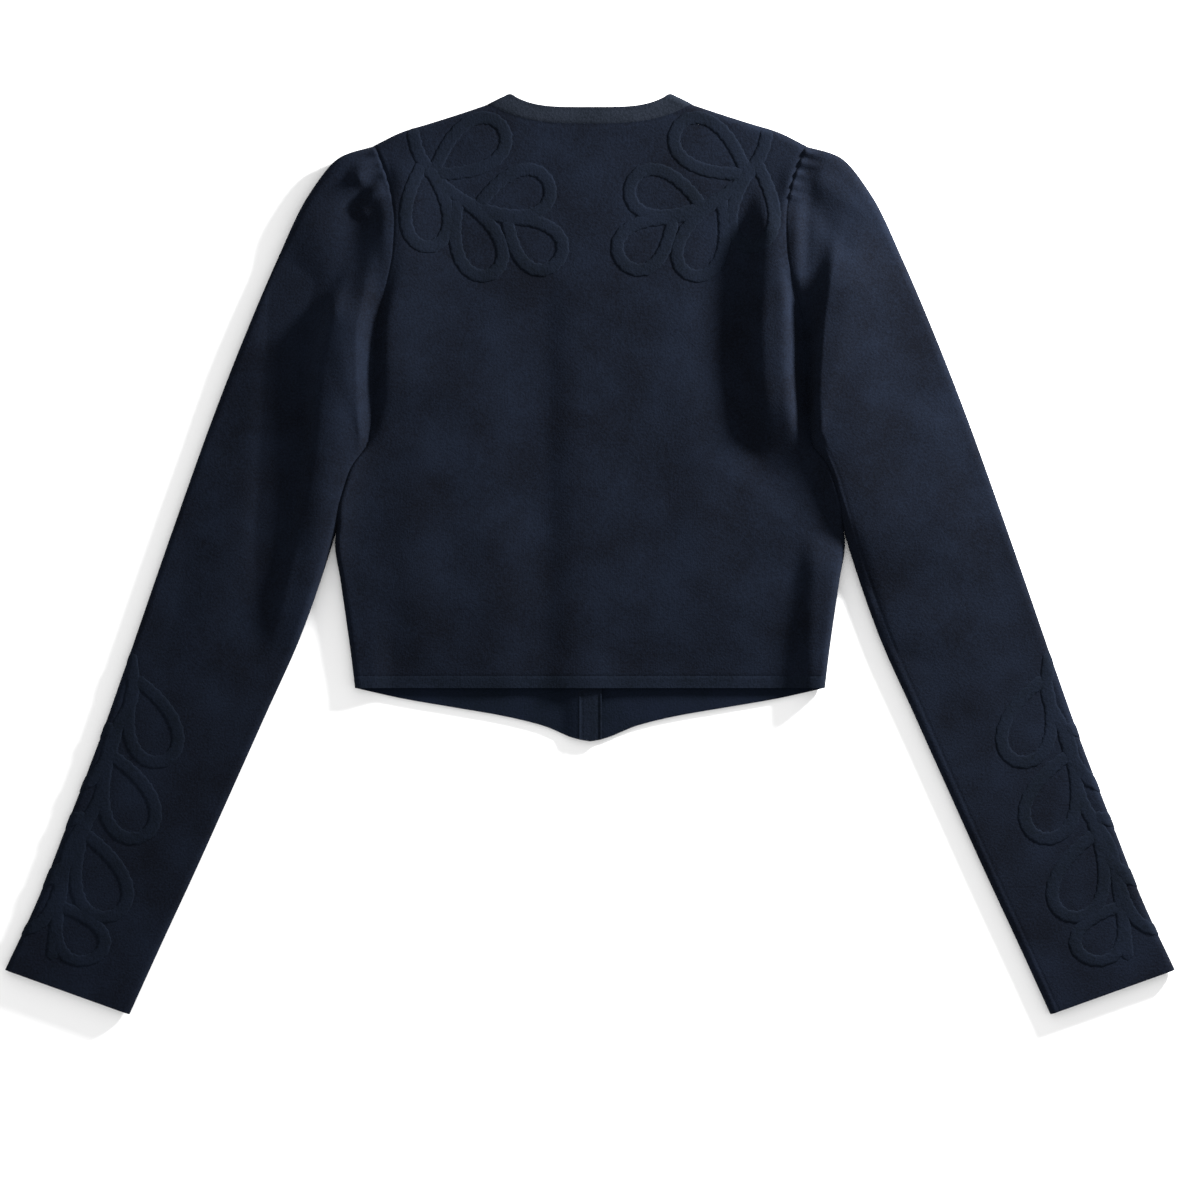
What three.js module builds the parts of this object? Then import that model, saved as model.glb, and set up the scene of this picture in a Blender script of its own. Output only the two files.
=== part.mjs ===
// A cropped knit cardigan with puffed sleeves, laid face down on a table, so that its back is up.
// Millimetres. +Z is up, +Y runs from the hem to the neck, +X is the wearer's right.
// The table is z = 0 and the origin is under the middle of the whole garment.
// Front and back lie on each other: a double knit wall, a narrow space, and a second wall.
// Every cut piece is a wall: an outer skin, a plain inner skin, and a rim that joins them.
import * as THREE from "three";

// Driving sizes of the cloth.
const CLOTH = 1.8; // thickness of the double knit
const SEAM_GAP = 0.3; // between two pieces that are sewn together
const NECK_SEAM_GAP = 0.8; // the same where the neckband turns sharply
const BACK_TOP = 7.4; // height of the back where it lies flat
const SIDE_SEAM = 3.9; // height of the side and shoulder seams, on the rounded edge
const EDGE_ROLL = 5; // how far in from the edge the cloth starts to turn down
const SHAPE_SHIFT_Y = -0.23; // sets the origin under the middle of the whole garment

// Driving sizes of the body, measured flat from the centre line.
const HEM_Y = -100;
const SHOULDER_Y = 306;
const SHOULDER_X = 162;
const UNDERARM_Y = 86;
const BODY_LENGTH = SHOULDER_Y - HEM_Y;
const HEM_BAND = 9;
const FRONT_POINT = 40; // how far the front hem drops below the side seams, at the middle
const NECK_BAND = 12.5;
const NECK_X = 61.5; // the neck opening, where the neckband turns over the shoulder
const NECK_TOP_Y = 344.6;
const BACK_NECK_Y = 333.2;
const NECK_SEAM_X = 78; // the neckband's seam, where it turns over the shoulder
const NECK_SEAM_TOP_Y = 336.5;
const FRONT_NECK_Y = 232; // the neckband's seam at the middle of the front
const PLACKET = 17.5; // width of each front band

// Half the body's width, from the hem up to the shoulder point.
const BODY_SIDE = [
  { y: -100, x: 176 },
  { y: -79, x: 178.5 },
  { y: -49, x: 182.6 },
  { y: -19, x: 187 },
  { y: 8, x: 191 },
  { y: 24, x: 189 },
  { y: 56, x: 179 },
  { y: 86, x: 166.5 },
  { y: 116, x: 163 },
  { y: 146, x: 162.4 },
  { y: 171, x: 160.5 },
  { y: 190, x: 156 },
  { y: 206, x: 151.8 },
  { y: 228, x: 147.8 },
  { y: 250, x: 146.8 },
  { y: 273, x: 150 },
  { y: 291, x: 156 },
  { y: 306, x: 162 },
];

// The shoulder line, from the neckband's seam out to the shoulder point.
const SHOULDER_LINE = [
  { x: 78, y: 336.5 },
  { x: 101, y: 328.9 },
  { x: 120, y: 322.9 },
  { x: 141, y: 316.4 },
  { x: 162, y: 306 },
];

// The front hem, from the middle to the side seam, as a share of its drop.
const FRONT_HEM = [
  { x: 0, drop: 1 },
  { x: 9, drop: 0.96 },
  { x: 36, drop: 0.7 },
  { x: 66, drop: 0.52 },
  { x: 103, drop: 0.36 },
  { x: 140, drop: 0.2 },
  { x: 176, drop: 0 },
];

// The flat sleeve: its outer and inner edges at stations from the armhole to the cuff,
// and how high the cloth stands there.
const SLEEVE = [
  { outerX: 162, outerY: 306, innerX: 167.2, innerY: 86, height: 10, roll: 5 },
  { outerX: 187, outerY: 298, innerX: 168, innerY: 83, height: 12.5, roll: 7 },
  { outerX: 212, outerY: 268.5, innerX: 169, innerY: 80, height: 12, roll: 8 },
  { outerX: 235.5, outerY: 220, innerX: 170.4, innerY: 77, height: 10, roll: 7 },
  { outerX: 260.6, outerY: 161, innerX: 173, innerY: 72.5, height: 9, roll: 6 },
  { outerX: 284, outerY: 101, innerX: 178.6, innerY: 61, height: 8.2, roll: 5.4 },
  { outerX: 305.6, outerY: 41, innerX: 197, innerY: -2, height: 7.6, roll: 5 },
  { outerX: 326.6, outerY: -19, innerX: 218, innerY: -62, height: 7.1, roll: 5 },
  { outerX: 347.3, outerY: -79, innerX: 243.5, innerY: -119, height: 6.7, roll: 5 },
  { outerX: 368.5, outerY: -139, innerX: 270, innerY: -178, height: 6.3, roll: 5 },
  { outerX: 391.5, outerY: -199, innerX: 296.6, innerY: -237, height: 6, roll: 5 },
  { outerX: 415, outerY: -259, innerX: 322.6, innerY: -293, height: 5.8, roll: 5 },
  { outerX: 439.2, outerY: -311, innerX: 346, innerY: -344.4, height: 5.6, roll: 5 },
];
const SLEEVE_RUN = 771; // length of all the stations at the forearm's spacing
const FOREARM_WIDTH = 104; // flat width that the sleeve's own coordinates are drawn on
const SEAM_INSET = 8; // the right sleeve's underarm seam, in from its inner edge

// Soft ridges and troughs of the upper layer: a path, a height, how far it reaches to the
// left and to the right of the path, and how flat it is on top, where 2 is round.
// The left sleeve and body side have negative x.
const FOLDS = [
  // trough down the middle of the back
  {
    path: [[-33, 236], [-36, 168], [-35, 112], [-35, 40], [-35, -34], [-38, -130]],
    rise: -2.2,
    left: 34,
    right: 15,
  },
  // ridge beside each armhole
  {
    path: [[143, 282], [141, 245], [139, 205], [137, 160], [140, 112], [148, 62]],
    rise: 12,
    left: 19,
    right: 16,
    crown: 4,
  },
  {
    path: [[-157, 302], [-150, 258], [-148, 205], [-157, 150], [-160, 96]],
    rise: 4.8,
    left: 7,
    right: 34,
  },
  // ridge along the right side, slack in the lower back, and the low cloth inside the ridge
  { path: [[176, 20], [171, -50], [173, -150]], rise: 5.6, left: 14, right: 17, crown: 3 },
  { path: [[-66, 40], [-66, -40], [-64, -130]], rise: 0.9, left: 28, right: 20 },
  { path: [[-120, 110], [-132, 40], [-130, -30], [-118, -110]], rise: 0.8, left: 16, right: 20 },
  { path: [[70, 140], [84, 60], [80, -40]], rise: 0.6, left: 18, right: 18 },
  {
    path: [[108, 260], [103, 200], [106, 150], [124, 90], [150, 48], [174, 24]],
    rise: -2.6,
    left: 20,
    right: 20,
  },
  // left sleeve: the raised strip beside the body, and hollows outside it
  {
    path: [[-176, 214], [-195, 146], [-201, 91], [-208, 41], [-219, -9], [-238, -90]],
    rise: 8.4,
    left: 12,
    right: 27,
    crown: 3,
  },
  { path: [[-163, 298], [-169, 262], [-175, 228], [-186, 176]], rise: -5.5, left: 20, right: 12 },
  {
    path: [[-208, 250], [-221, 180], [-226, 111], [-229, 41], [-236, -50]],
    rise: -4.2,
    left: 20,
    right: 20,
    crown: 3,
  },
  { path: [[-254, 70], [-276, -10], [-300, -100]], rise: 0.8, left: 18, right: 20 },
  // right sleeve: drag lines that fall from the gathers, the ridge along the body, slack
  { path: [[156, 272], [176, 250], [196, 218]], rise: -1.6, left: 9, right: 10 },
  { path: [[164, 280], [188, 268], [212, 246]], rise: 0.8, left: 7, right: 9 },
  {
    path: [[190, 258], [181, 208], [175, 160], [174, 96], [185, 54], [200, 12], [214, -30]],
    rise: 7.4,
    left: 8,
    right: 52,
  },
  { path: [[180, 300], [172, 250], [166, 210], [164, 176]], rise: 2.4, left: 18, right: 30 },
  { path: [[200, 36], [216, -15], [236, -90]], rise: 1.2, left: 8, right: 40 },
  { path: [[248, 122], [262, 40], [272, -30]], rise: 1.2, left: 24, right: 24 },
];

// Raised cord applique: a soft knitted tube sewn down in a leafy spray.
const CORD_HALF = 4.8;
const CORD_RISE = 0.9;
const CORD_STATION = 10;
const CORD_OFFSETS = [-1, -0.52, 0, 0.52, 1]; // points across a cord, in half widths

// The shoulder spray, for the right side: x from the centre line and y up the back.
const SHOULDER_STEM = [[133, 319], [129, 302], [116, 282], [95, 265], [70, 254], [46, 250]];
const SHOULDER_LEAVES = [
  { baseX: 117, baseY: 285, turn: 146, length: 62, width: 34 },
  { baseX: 84, baseY: 260, turn: 163, length: 56, width: 33 },
  { baseX: 124, baseY: 294, turn: -93, length: 64, width: 31 },
  { baseX: 98, baseY: 267, turn: -112, length: 62, width: 32 },
  { baseX: 62, baseY: 252, turn: -138, length: 50, width: 32 },
];

// The sleeve spray: across is the distance over the upper layer from the sleeve's outer
// edge, negative on the lower layer, and up is the distance from the cuff.
const SLEEVE_STEM = [[2, 264], [14, 232], [10, 194], [17, 152], [10, 110], [18, 66], [30, 22]];
const SLEEVE_LEAVES = [
  { baseX: 12, baseY: 246, turn: -52, length: 64, width: 35 },
  { baseX: 12, baseY: 186, turn: -48, length: 66, width: 36 },
  { baseX: 15, baseY: 124, turn: -50, length: 66, width: 36 },
  { baseX: 18, baseY: 66, turn: -38, length: 50, width: 33 },
  { baseX: 11, baseY: 206, turn: -118, length: 58, width: 31 },
  { baseX: 14, baseY: 136, turn: -118, length: 58, width: 31 },
  { baseX: 12, baseY: 88, turn: -116, length: 56, width: 31 },
];

// Gathers at the sleeve head: small pleats that fan out of the armhole seam.
const GATHER_COUNT = 5; // on the upper layer, and as many below
const GATHER_PITCH = 8.4;
const GATHER_START = 7; // from the shoulder point to the first crest
const GATHER_RISE = 1.5;
const GATHER_DIP = 0.8;
const GATHER_REACH = 16;
const GATHER_ROWS = [0.012, 0.03, 0.054];

const WALL_COLOUR = "#232a38";
const BAND_COLOUR = "#272e3c";

const TINY = 1e-6;
const clamp01 = (x) => Math.min(1, Math.max(0, x));
const mix = (a, b, share) => a + (b - a) * share;
const smooth = (low, high, x) => {
  const share = clamp01((x - low) / (high - low));
  return share * share * (3 - 2 * share);
};

// Reads one column of a table at a key, along a smooth curve that never overshoots.
function read(table, key, column, at) {
  const last = table.length - 1;
  const rising = table[last][key] > table[0][key] ? 1 : -1;
  let i = 0;
  while (i < last - 1 && rising * (at - table[i + 1][key]) > 0) i += 1;
  const slope = (k) => {
    if (k < 0 || k >= last) return null;
    return (table[k + 1][column] - table[k][column]) / (table[k + 1][key] - table[k][key]);
  };
  const tangent = (k) => {
    const before = slope(k - 1);
    const after = slope(k);
    if (before === null) return after;
    if (after === null) return before;
    return before * after <= 0 ? 0 : (2 * before * after) / (before + after);
  };
  const span = table[i + 1][key] - table[i][key];
  const t = clamp01((at - table[i][key]) / span);
  const [t2, t3] = [t * t, t * t * t];
  return (
    (2 * t3 - 3 * t2 + 1) * table[i][column] +
    (t3 - 2 * t2 + t) * span * tangent(i) +
    (3 * t2 - 2 * t3) * table[i + 1][column] +
    (t3 - t2) * span * tangent(i + 1)
  );
}

// Distance from a point to a polyline, with the side it lies on and how far along it is.
function nearest(path, x, y) {
  let best = { distance: Infinity, side: 1, along: 0 };
  const count = path.length - 1;
  for (let i = 0; i < count; i += 1) {
    const [ax, ay] = path[i];
    const [dx, dy] = [path[i + 1][0] - ax, path[i + 1][1] - ay];
    const share = clamp01(((x - ax) * dx + (y - ay) * dy) / (dx * dx + dy * dy));
    const [px, py] = [x - ax - share * dx, y - ay - share * dy];
    const distance = Math.hypot(px, py);
    if (distance < best.distance) {
      best = { distance, side: Math.sign(px) || 1, along: (i + share) / count };
    }
  }
  return best;
}

// A smooth curve through a few points, as a polyline.
function curveThrough(points, pieces) {
  const spline = new THREE.CatmullRomCurve3(points.map(([x, y]) => new THREE.Vector3(x, y, 0)));
  return spline.getPoints(pieces).map((p) => [p.x, p.y]);
}

// Height that the folds add to the upper layer: a bell across each path, fading at its ends.
const ROUND_CROWN = 2;
const foldPaths = FOLDS.map((fold) => ({ ...fold, path: curveThrough(fold.path, 14) }));
function foldHeight(x, y) {
  let height = 0;
  for (const fold of foldPaths) {
    const near = nearest(fold.path, x, y);
    const reach = near.side < 0 ? fold.left : fold.right;
    const ends = smooth(0, 0.2, near.along) * (1 - smooth(0.75, 1, near.along));
    height += fold.rise * ends * Math.exp(-((near.distance / reach) ** (fold.crown ?? ROUND_CROWN)));
  }
  return height;
}

// A rounded edge, by the distance along the cloth from its outermost line:
// how far in that is on the table, and the share of the full height that is reached.
function rolled(arc, roll, height) {
  const quarter = ((roll + height) * Math.PI) / 4;
  const angle = (clamp01(arc / quarter) * Math.PI) / 2;
  const flat = Math.max(0, arc - quarter);
  return { inset: roll * (1 - Math.cos(angle)) + flat, share: Math.sin(angle), quarter };
}

// The inner edge of the sleeve at a height up the body, where the two touch.
const sleeveRow = (v, column) => {
  const rows = SLEEVE.map((row, station) => ({ ...row, station }));
  return read(rows, "station", column, v * (SLEEVE.length - 1));
};
const BODY_CLEARANCE = 0.8;
const innerEdge = Array.from({ length: 121 }, (_, i) => {
  const v = i / 120;
  return { x: sleeveRow(v, "innerX"), y: sleeveRow(v, "innerY") };
});
function bodyHalfWidth(y) {
  const width = read(BODY_SIDE, "y", "x", y);
  if (y >= UNDERARM_Y) return width;
  const touching = read(innerEdge, "y", "x", y) - BODY_CLEARANCE;
  return Math.min(width, touching);
}

// The top edge of the back and of a front, by the distance from the centre line.
const neckSeam = (x, lowY, power) => lowY + (NECK_SEAM_TOP_Y - lowY) * (x / NECK_SEAM_X) ** power;
const shoulderAt = (x) => read(SHOULDER_LINE, "x", "y", x);
const BACK_NECK_SEAM_Y = BACK_NECK_Y - NECK_BAND;
const backTop = (x) => (x < NECK_SEAM_X ? neckSeam(x, BACK_NECK_SEAM_Y, 3) : shoulderAt(x));
const frontTop = (x) => (x < NECK_SEAM_X ? neckSeam(x, FRONT_NECK_Y, 2.2) : shoulderAt(x));

// The line over which the shoulders and the neckband fold from the back to the front,
// and how much shorter the rounded cloth looks from above than it is.
const FOLD_SLOPE = (NECK_TOP_Y - NECK_SEAM_TOP_Y) / (NECK_SEAM_X - NECK_X);
const neckFold = (x) => NECK_SEAM_TOP_Y + (NECK_SEAM_X - x) * FOLD_SLOPE;
const foldLine = (x) => (x < NECK_SEAM_X ? neckFold(x) : shoulderAt(x));
function shoulderRoll(arc) {
  const { inset, share } = rolled(Math.max(0, arc), EDGE_ROLL, SIDE_SEAM - SEAM_GAP);
  return { share, saved: Math.max(0, arc) - inset };
}

// A point of a body panel on the table. u runs from -1 to 1 across and v from 0 to 1 up.
const TOP_FADE = 3;
const HEM_FADE = 2;
function bodyPlan(u, v, isBack) {
  const height = SIDE_SEAM - SEAM_GAP;
  const sideY = mix(HEM_Y, SHOULDER_Y, v);
  const half = bodyHalfWidth(sideY);
  const { quarter } = rolled(0, EDGE_ROLL, height);
  const arc = (1 - Math.abs(u)) * (half - EDGE_ROLL + quarter);
  const side = rolled(arc, EDGE_ROLL, height);
  const turned = 1 - smooth(UNDERARM_Y - 8, UNDERARM_Y + 12, sideY);
  const inset = mix((1 - Math.abs(u)) * half, side.inset, turned);
  const x = Math.sign(u) * Math.max(0, half - inset);
  const along = Math.abs(u) * SHOULDER_X;
  const top = isBack ? backTop(along) : frontTop(along);
  const drop = isBack ? 0 : FRONT_POINT * read(FRONT_HEM, "x", "drop", Math.abs(x));
  const y = sideY + (top - SHOULDER_Y) * v ** TOP_FADE - drop * (1 - v) ** HEM_FADE;
  const topArc = foldLine(along) - top + (1 - v) * (BODY_LENGTH + TOP_FADE * (top - SHOULDER_Y));
  const shoulder = shoulderRoll(topArc);
  const onSeam = Math.abs(u) > 1 - 1e-9 ? turned : 0;
  return {
    x,
    y: y + shoulder.saved * v * v,
    sideShare: mix(1, side.share, turned),
    shoulderShare: shoulder.share,
    onSeam: topArc < TINY ? 1 : onSeam,
    toArmhole: half - Math.abs(x),
    sideY,
  };
}

// How high the armhole seam lies: low under the arm, raised with the ridge beside it, which
// is higher on the right, and back down at the shoulder point.
const ARMHOLE_LOW = 4.5;
const ARMHOLE_RISES = {
  left: { rise: 4.4, lowY: 110, highY: 190, endY: 285 },
  right: { rise: 10, lowY: 166, highY: 214, endY: 238 },
};
const SHOULDER_POINT_Y = 304;
function armholeHeight(x, y) {
  const { rise, lowY, highY, endY } = x < 0 ? ARMHOLE_RISES.left : ARMHOLE_RISES.right;
  const ridge = rise * smooth(lowY, highY, y) * (1 - smooth(endY, SHOULDER_POINT_Y, y));
  return mix(ARMHOLE_LOW, BACK_TOP, smooth(176, 232, y)) + ridge;
}
const SINK_REACH = 7;

// How high the back lies before its folds: lower at the hem, but less so over the front
// bands and at the sides.
const HEM_DROP = 3.1;
const HEM_DROP_REACH = 70;
const OVER_BANDS = { share: 0.7, x: -4, reach: 26 };
const AT_SIDE = { share: 0.8, from: 146, to: 164 };
function restHeight(x, y) {
  const atHem = 1 - smooth(HEM_Y, HEM_Y + HEM_DROP_REACH, y);
  const overBands = OVER_BANDS.share * Math.exp(-(((x - OVER_BANDS.x) / OVER_BANDS.reach) ** 2));
  const atSide = AT_SIDE.share * smooth(AT_SIDE.from, AT_SIDE.to, Math.abs(x));
  return BACK_TOP - HEM_DROP * atHem * (1 - overBands) * (1 - atSide);
}

function backSurface(u, v) {
  const p = bodyPlan(u, v, true);
  const loose = restHeight(p.x, p.y) + foldHeight(p.x, p.y) * smooth(0, 12, BODY_LENGTH * (1 - v));
  const sunk = smooth(UNDERARM_Y - 20, UNDERARM_Y + 14, p.sideY) * (1 - smooth(300, 306, p.sideY));
  const share = Math.exp(-((p.toArmhole / SINK_REACH) ** 2)) * sunk;
  const height = Math.max(mix(loose, armholeHeight(p.x, p.sideY), share), SIDE_SEAM + SEAM_GAP);
  const z = SIDE_SEAM + (height - SIDE_SEAM) * p.sideShare * p.shoulderShare;
  return new THREE.Vector3(p.x, p.y, z);
}

// The left front steps up beside the band that it carries, which laps over the other.
const PLACKET_STEP = CLOTH + SEAM_GAP;
const frontStep = (x) => (x < 0 ? PLACKET_STEP * smooth(PLACKET / 2 + 13, PLACKET / 2 + 1, -x) : 0);
function frontSurface(u, v) {
  const p = bodyPlan(u, v, false);
  const lift = SIDE_SEAM - SEAM_GAP;
  const edge = lift * (1 - p.sideShare * p.shoulderShare);
  return new THREE.Vector3(p.x, p.y, edge + frontStep(p.x));
}

// Where on the back's own coordinates a point of the table lies.
function backCoordinates(x, y) {
  let [u, v] = [x / SHOULDER_X, (y - HEM_Y) / BODY_LENGTH];
  for (let i = 0; i < 12; i += 1) {
    const p = bodyPlan(u, v, true);
    u += (x - p.x) / SHOULDER_X;
    v += (y - p.y) / (BODY_LENGTH * 1.2);
  }
  return [u, v];
}

// The closed outline of one leaf: a drop with its point on the stem.
function leaf({ baseX, baseY, turn, length, width }) {
  const pieces = 18;
  const [cos, sin] = [Math.cos((turn * Math.PI) / 180), Math.sin((turn * Math.PI) / 180)];
  return Array.from({ length: pieces + 1 }, (_, i) => {
    const angle = (2 * Math.PI * i) / pieces;
    const out = (length * (1 - Math.cos(angle))) / 2;
    const aside = (width / 1.5) * Math.sin(angle) * Math.sin(angle / 2);
    return [baseX + out * cos - aside * sin, baseY + out * sin + aside * cos];
  });
}
const shoulderCords = [curveThrough(SHOULDER_STEM, 16), ...SHOULDER_LEAVES.map(leaf)];
const sleeveCords = [curveThrough(SLEEVE_STEM, 26), ...SLEEVE_LEAVES.map(leaf)];

// How far the cord stands up at a point.
function cordHeight(cords, x, y) {
  let height = 0;
  for (const path of cords) {
    const share = nearest(path, x, y).distance / CORD_HALF;
    if (share < 1) height = Math.max(height, CORD_RISE * (1 - share ** 3));
  }
  return height;
}

// Points along and across each cord, none of them close to one that is already there.
const POINT_SPACING = 1.7;
function cordPoints(cords) {
  const points = [];
  for (const path of cords) {
    const spline = new THREE.CatmullRomCurve3(path.map(([x, y]) => new THREE.Vector3(x, y, 0)));
    const stations = Math.round(spline.getLength() / CORD_STATION);
    for (let i = 0; i <= stations; i += 1) {
      const at = spline.getPointAt(i / stations);
      const way = spline.getTangentAt(i / stations);
      for (const offset of CORD_OFFSETS) {
        const x = at.x - way.y * offset * CORD_HALF;
        const y = at.y + way.x * offset * CORD_HALF;
        if (points.every(([px, py]) => Math.hypot(px - x, py - y) > POINT_SPACING)) points.push([x, y]);
      }
    }
  }
  return points;
}

// The sleeve's own coordinates: s runs round it from its outer edge, over the upper layer to
// 1 at the inner edge, or over the lower layer to -1. v runs from the armhole to the cuff.
const armholeCurve = (t) => {
  const y = mix(SHOULDER_Y, UNDERARM_Y, t);
  return [read(BODY_SIDE, "y", "x", y), y];
};
const BOW_FADE = 0.3;
const ARMHOLE_GAP = 0.7;
function sleevePlan(s, v) {
  const layerShare = Math.abs(s) <= 1 ? Math.abs(s) : 2 - Math.abs(s);
  const upper = (s > 0 && s <= 1) || s < -1;
  const height = sleeveRow(v, "height");
  const roll = sleeveRow(v, "roll");
  const outer = [sleeveRow(v, "outerX"), sleeveRow(v, "outerY")];
  const inner = [sleeveRow(v, "innerX"), sleeveRow(v, "innerY")];
  const width = Math.hypot(inner[0] - outer[0], inner[1] - outer[1]);
  const { quarter } = rolled(0, roll, height / 2);
  const round = width - 2 * roll + 2 * quarter;
  const fromOuter = layerShare * round;
  const atOuter = fromOuter < round / 2;
  const edge = rolled(atOuter ? fromOuter : round - fromOuter, roll, height / 2);
  const t = atOuter ? edge.inset / width : 1 - edge.inset / width;
  const [ax, ay] = armholeCurve(t);
  const start = [mix(SLEEVE[0].outerX, SLEEVE[0].innerX, t), mix(SLEEVE[0].outerY, SLEEVE[0].innerY, t)];
  const bow = (1 - smooth(0, BOW_FADE, v)) ** 1.5;
  return {
    x: mix(outer[0], inner[0], t) + (ax - start[0]) * bow + ARMHOLE_GAP,
    y: mix(outer[1], inner[1], t) + (ay - start[1]) * bow,
    t,
    upper,
    edgeShare: edge.share,
    height,
    round,
  };
}

function sleeveSurface(side, s, v) {
  const p = sleevePlan(s, v);
  const middle = Math.min(p.height / 2, mix(SIDE_SEAM, p.height / 2, smooth(0, 0.05, v)));
  if (!p.upper) return new THREE.Vector3(side * p.x, p.y, middle * (1 - p.edgeShare));
  const [sx, sy] = armholeCurve(p.t);
  const fromSeam = Math.hypot(p.x - ARMHOLE_GAP - sx, p.y - sy);
  const loose = p.height * mix(0.8, 1, Math.sin(Math.PI * p.t)) + foldHeight(side * p.x, p.y);
  const rise = smooth(0, mix(20, 12, p.t), fromSeam);
  const seam = armholeHeight(side, sy);
  const height = Math.max(mix(seam, Math.max(loose, BACK_TOP - 1), rise), ARMHOLE_LOW);
  return new THREE.Vector3(side * p.x, p.y, middle + (height - middle) * p.edgeShare);
}

// Gathers die out away from the seam. Below, only the troughs between them leave the table.
function gatherHeight(s, v) {
  const p = sleevePlan(s, v);
  const [sx, sy] = armholeCurve(p.t);
  const fromSeam = Math.hypot(p.x - ARMHOLE_GAP - sx, p.y - sy);
  const round = Math.abs(s) * p.round;
  const wave = (round - GATHER_START) / GATHER_PITCH;
  const inside = smooth(-0.6, 0, wave) * (1 - smooth(GATHER_COUNT - 1, GATHER_COUNT - 0.4, wave));
  const crest = 0.5 + 0.5 * Math.cos(2 * Math.PI * wave);
  const height = p.upper ? GATHER_RISE * crest : GATHER_DIP * (crest - 1);
  return height * inside * (1 - smooth(2, GATHER_REACH, fromSeam));
}

// Delaunay triangles of points in a plane, by adding one point at a time.
function triangulate(points) {
  const far = 1e5;
  const nudge = (i, salt) => 2e-3 * Math.sin(i * 12.9898 + salt);
  const flat = points.map(([x, y, fixed], i) => (fixed ? [x, y] : [x + nudge(i, 0), y + nudge(i, 5)]));
  const count = flat.length;
  flat.push([-far, -far], [far, -far], [0, far]);
  const circle = (a, b, c) => {
    const [ax, ay] = flat[a];
    const [bx, by] = [flat[b][0] - ax, flat[b][1] - ay];
    const [cx, cy] = [flat[c][0] - ax, flat[c][1] - ay];
    const twice = 2 * (bx * cy - by * cx);
    const x = (cy * (bx * bx + by * by) - by * (cx * cx + cy * cy)) / twice;
    const y = (bx * (cx * cx + cy * cy) - cx * (bx * bx + by * by)) / twice;
    return { corners: [a, b, c], x: ax + x, y: ay + y, square: x * x + y * y };
  };
  let triangles = [circle(count, count + 1, count + 2)];
  for (let i = 0; i < count; i += 1) {
    const [x, y] = flat[i];
    const edges = new Map();
    const kept = [];
    for (const triangle of triangles) {
      if ((x - triangle.x) ** 2 + (y - triangle.y) ** 2 >= triangle.square) {
        kept.push(triangle);
        continue;
      }
      const [a, b, c] = triangle.corners;
      for (const [from, to] of [[a, b], [b, c], [c, a]]) {
        const back = `${to},${from}`;
        if (edges.has(back)) edges.delete(back);
        else edges.set(`${from},${to}`, [from, to]);
      }
    }
    for (const [from, to] of edges.values()) kept.push(circle(from, to, i));
    triangles = kept;
  }
  return triangles.map((t) => t.corners).filter((corners) => corners.every((k) => k < count));
}

// One skin of a wall: the rim's points first, then the lattice, then any finer points.
// Lattice points that lie close to a finer point are left out.
const CLEAR_OF_FINE = 4.2;
function skinPoints(rim, us, vs, scale, fine) {
  const points = rim.map(([u, v]) => [u * scale.u, v * scale.v, u, v, true]);
  const [lowU, highU, lowV, highV] = [us[0], us.at(-1), vs[0], vs.at(-1)];
  const addPoint = (u, v) => points.push([u * scale.u, v * scale.v, u, v, false]);
  const isClear = (u, v) =>
    fine.every(([fu, fv]) => Math.hypot((fu - u) * scale.u, (fv - v) * scale.v) > CLEAR_OF_FINE);
  for (const v of vs.slice(1, -1)) {
    for (const u of us.slice(1, -1)) {
      if (isClear(u, v)) addPoint(u, v);
    }
  }
  for (const [u, v] of fine) {
    const isInside = u > lowU && u < highU && v > lowV && v < highV;
    if (isInside) addPoint(u, v);
  }
  return points;
}

// A wall over a rectangle of its own coordinates. rimUs gives finer points on its first edge.
function wall(cut) {
  const { name, colour, us, vs, rimUs = us, rimVs = vs, innerUs = us, innerVs = vs } = cut;
  const { scale, fine = [], mirrored = false, outer, inner } = cut;
  const rim = [
    ...rimUs.map((u) => [u, vs[0]]),
    ...rimVs.slice(1, -1).map((v) => [us.at(-1), v]),
    ...us.toReversed().map((u) => [u, vs.at(-1)]),
    ...rimVs.slice(1, -1).toReversed().map((v) => [us[0], v]),
  ];
  const positions = [];
  const indices = [];
  const skins = [
    { points: skinPoints(rim, us, vs, scale, fine), place: outer, flip: mirrored },
    { points: skinPoints(rim, innerUs, innerVs, scale, []), place: inner, flip: !mirrored },
  ];
  const starts = skins.map(({ points, place, flip }) => {
    const start = positions.length / 3;
    for (const [, , u, v] of points) positions.push(...place(u, v).toArray());
    for (const [a, b, c] of triangulate(points.map(([x, y, , , fixed]) => [x, y, fixed]))) {
      indices.push(...(flip ? [start + a, start + c, start + b] : [start + a, start + b, start + c]));
    }
    return start;
  });
  rim.forEach((_, i) => {
    const next = (i + 1) % rim.length;
    const [a, b] = [starts[0] + i, starts[0] + next];
    const [c, d] = [starts[1] + i, starts[1] + next];
    indices.push(...(mirrored ? [a, b, c, b, d, c] : [a, c, b, b, c, d]));
  });
  const geometry = new THREE.BufferGeometry();
  geometry.setAttribute("position", new THREE.Float32BufferAttribute(positions, 3));
  geometry.setIndex(indices);
  geometry.computeVertexNormals();
  const material = new THREE.MeshStandardMaterial({ color: colour, roughness: 0.9, metalness: 0 });
  const mesh = new THREE.Mesh(geometry, material);
  mesh.name = name;
  return mesh;
}

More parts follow.
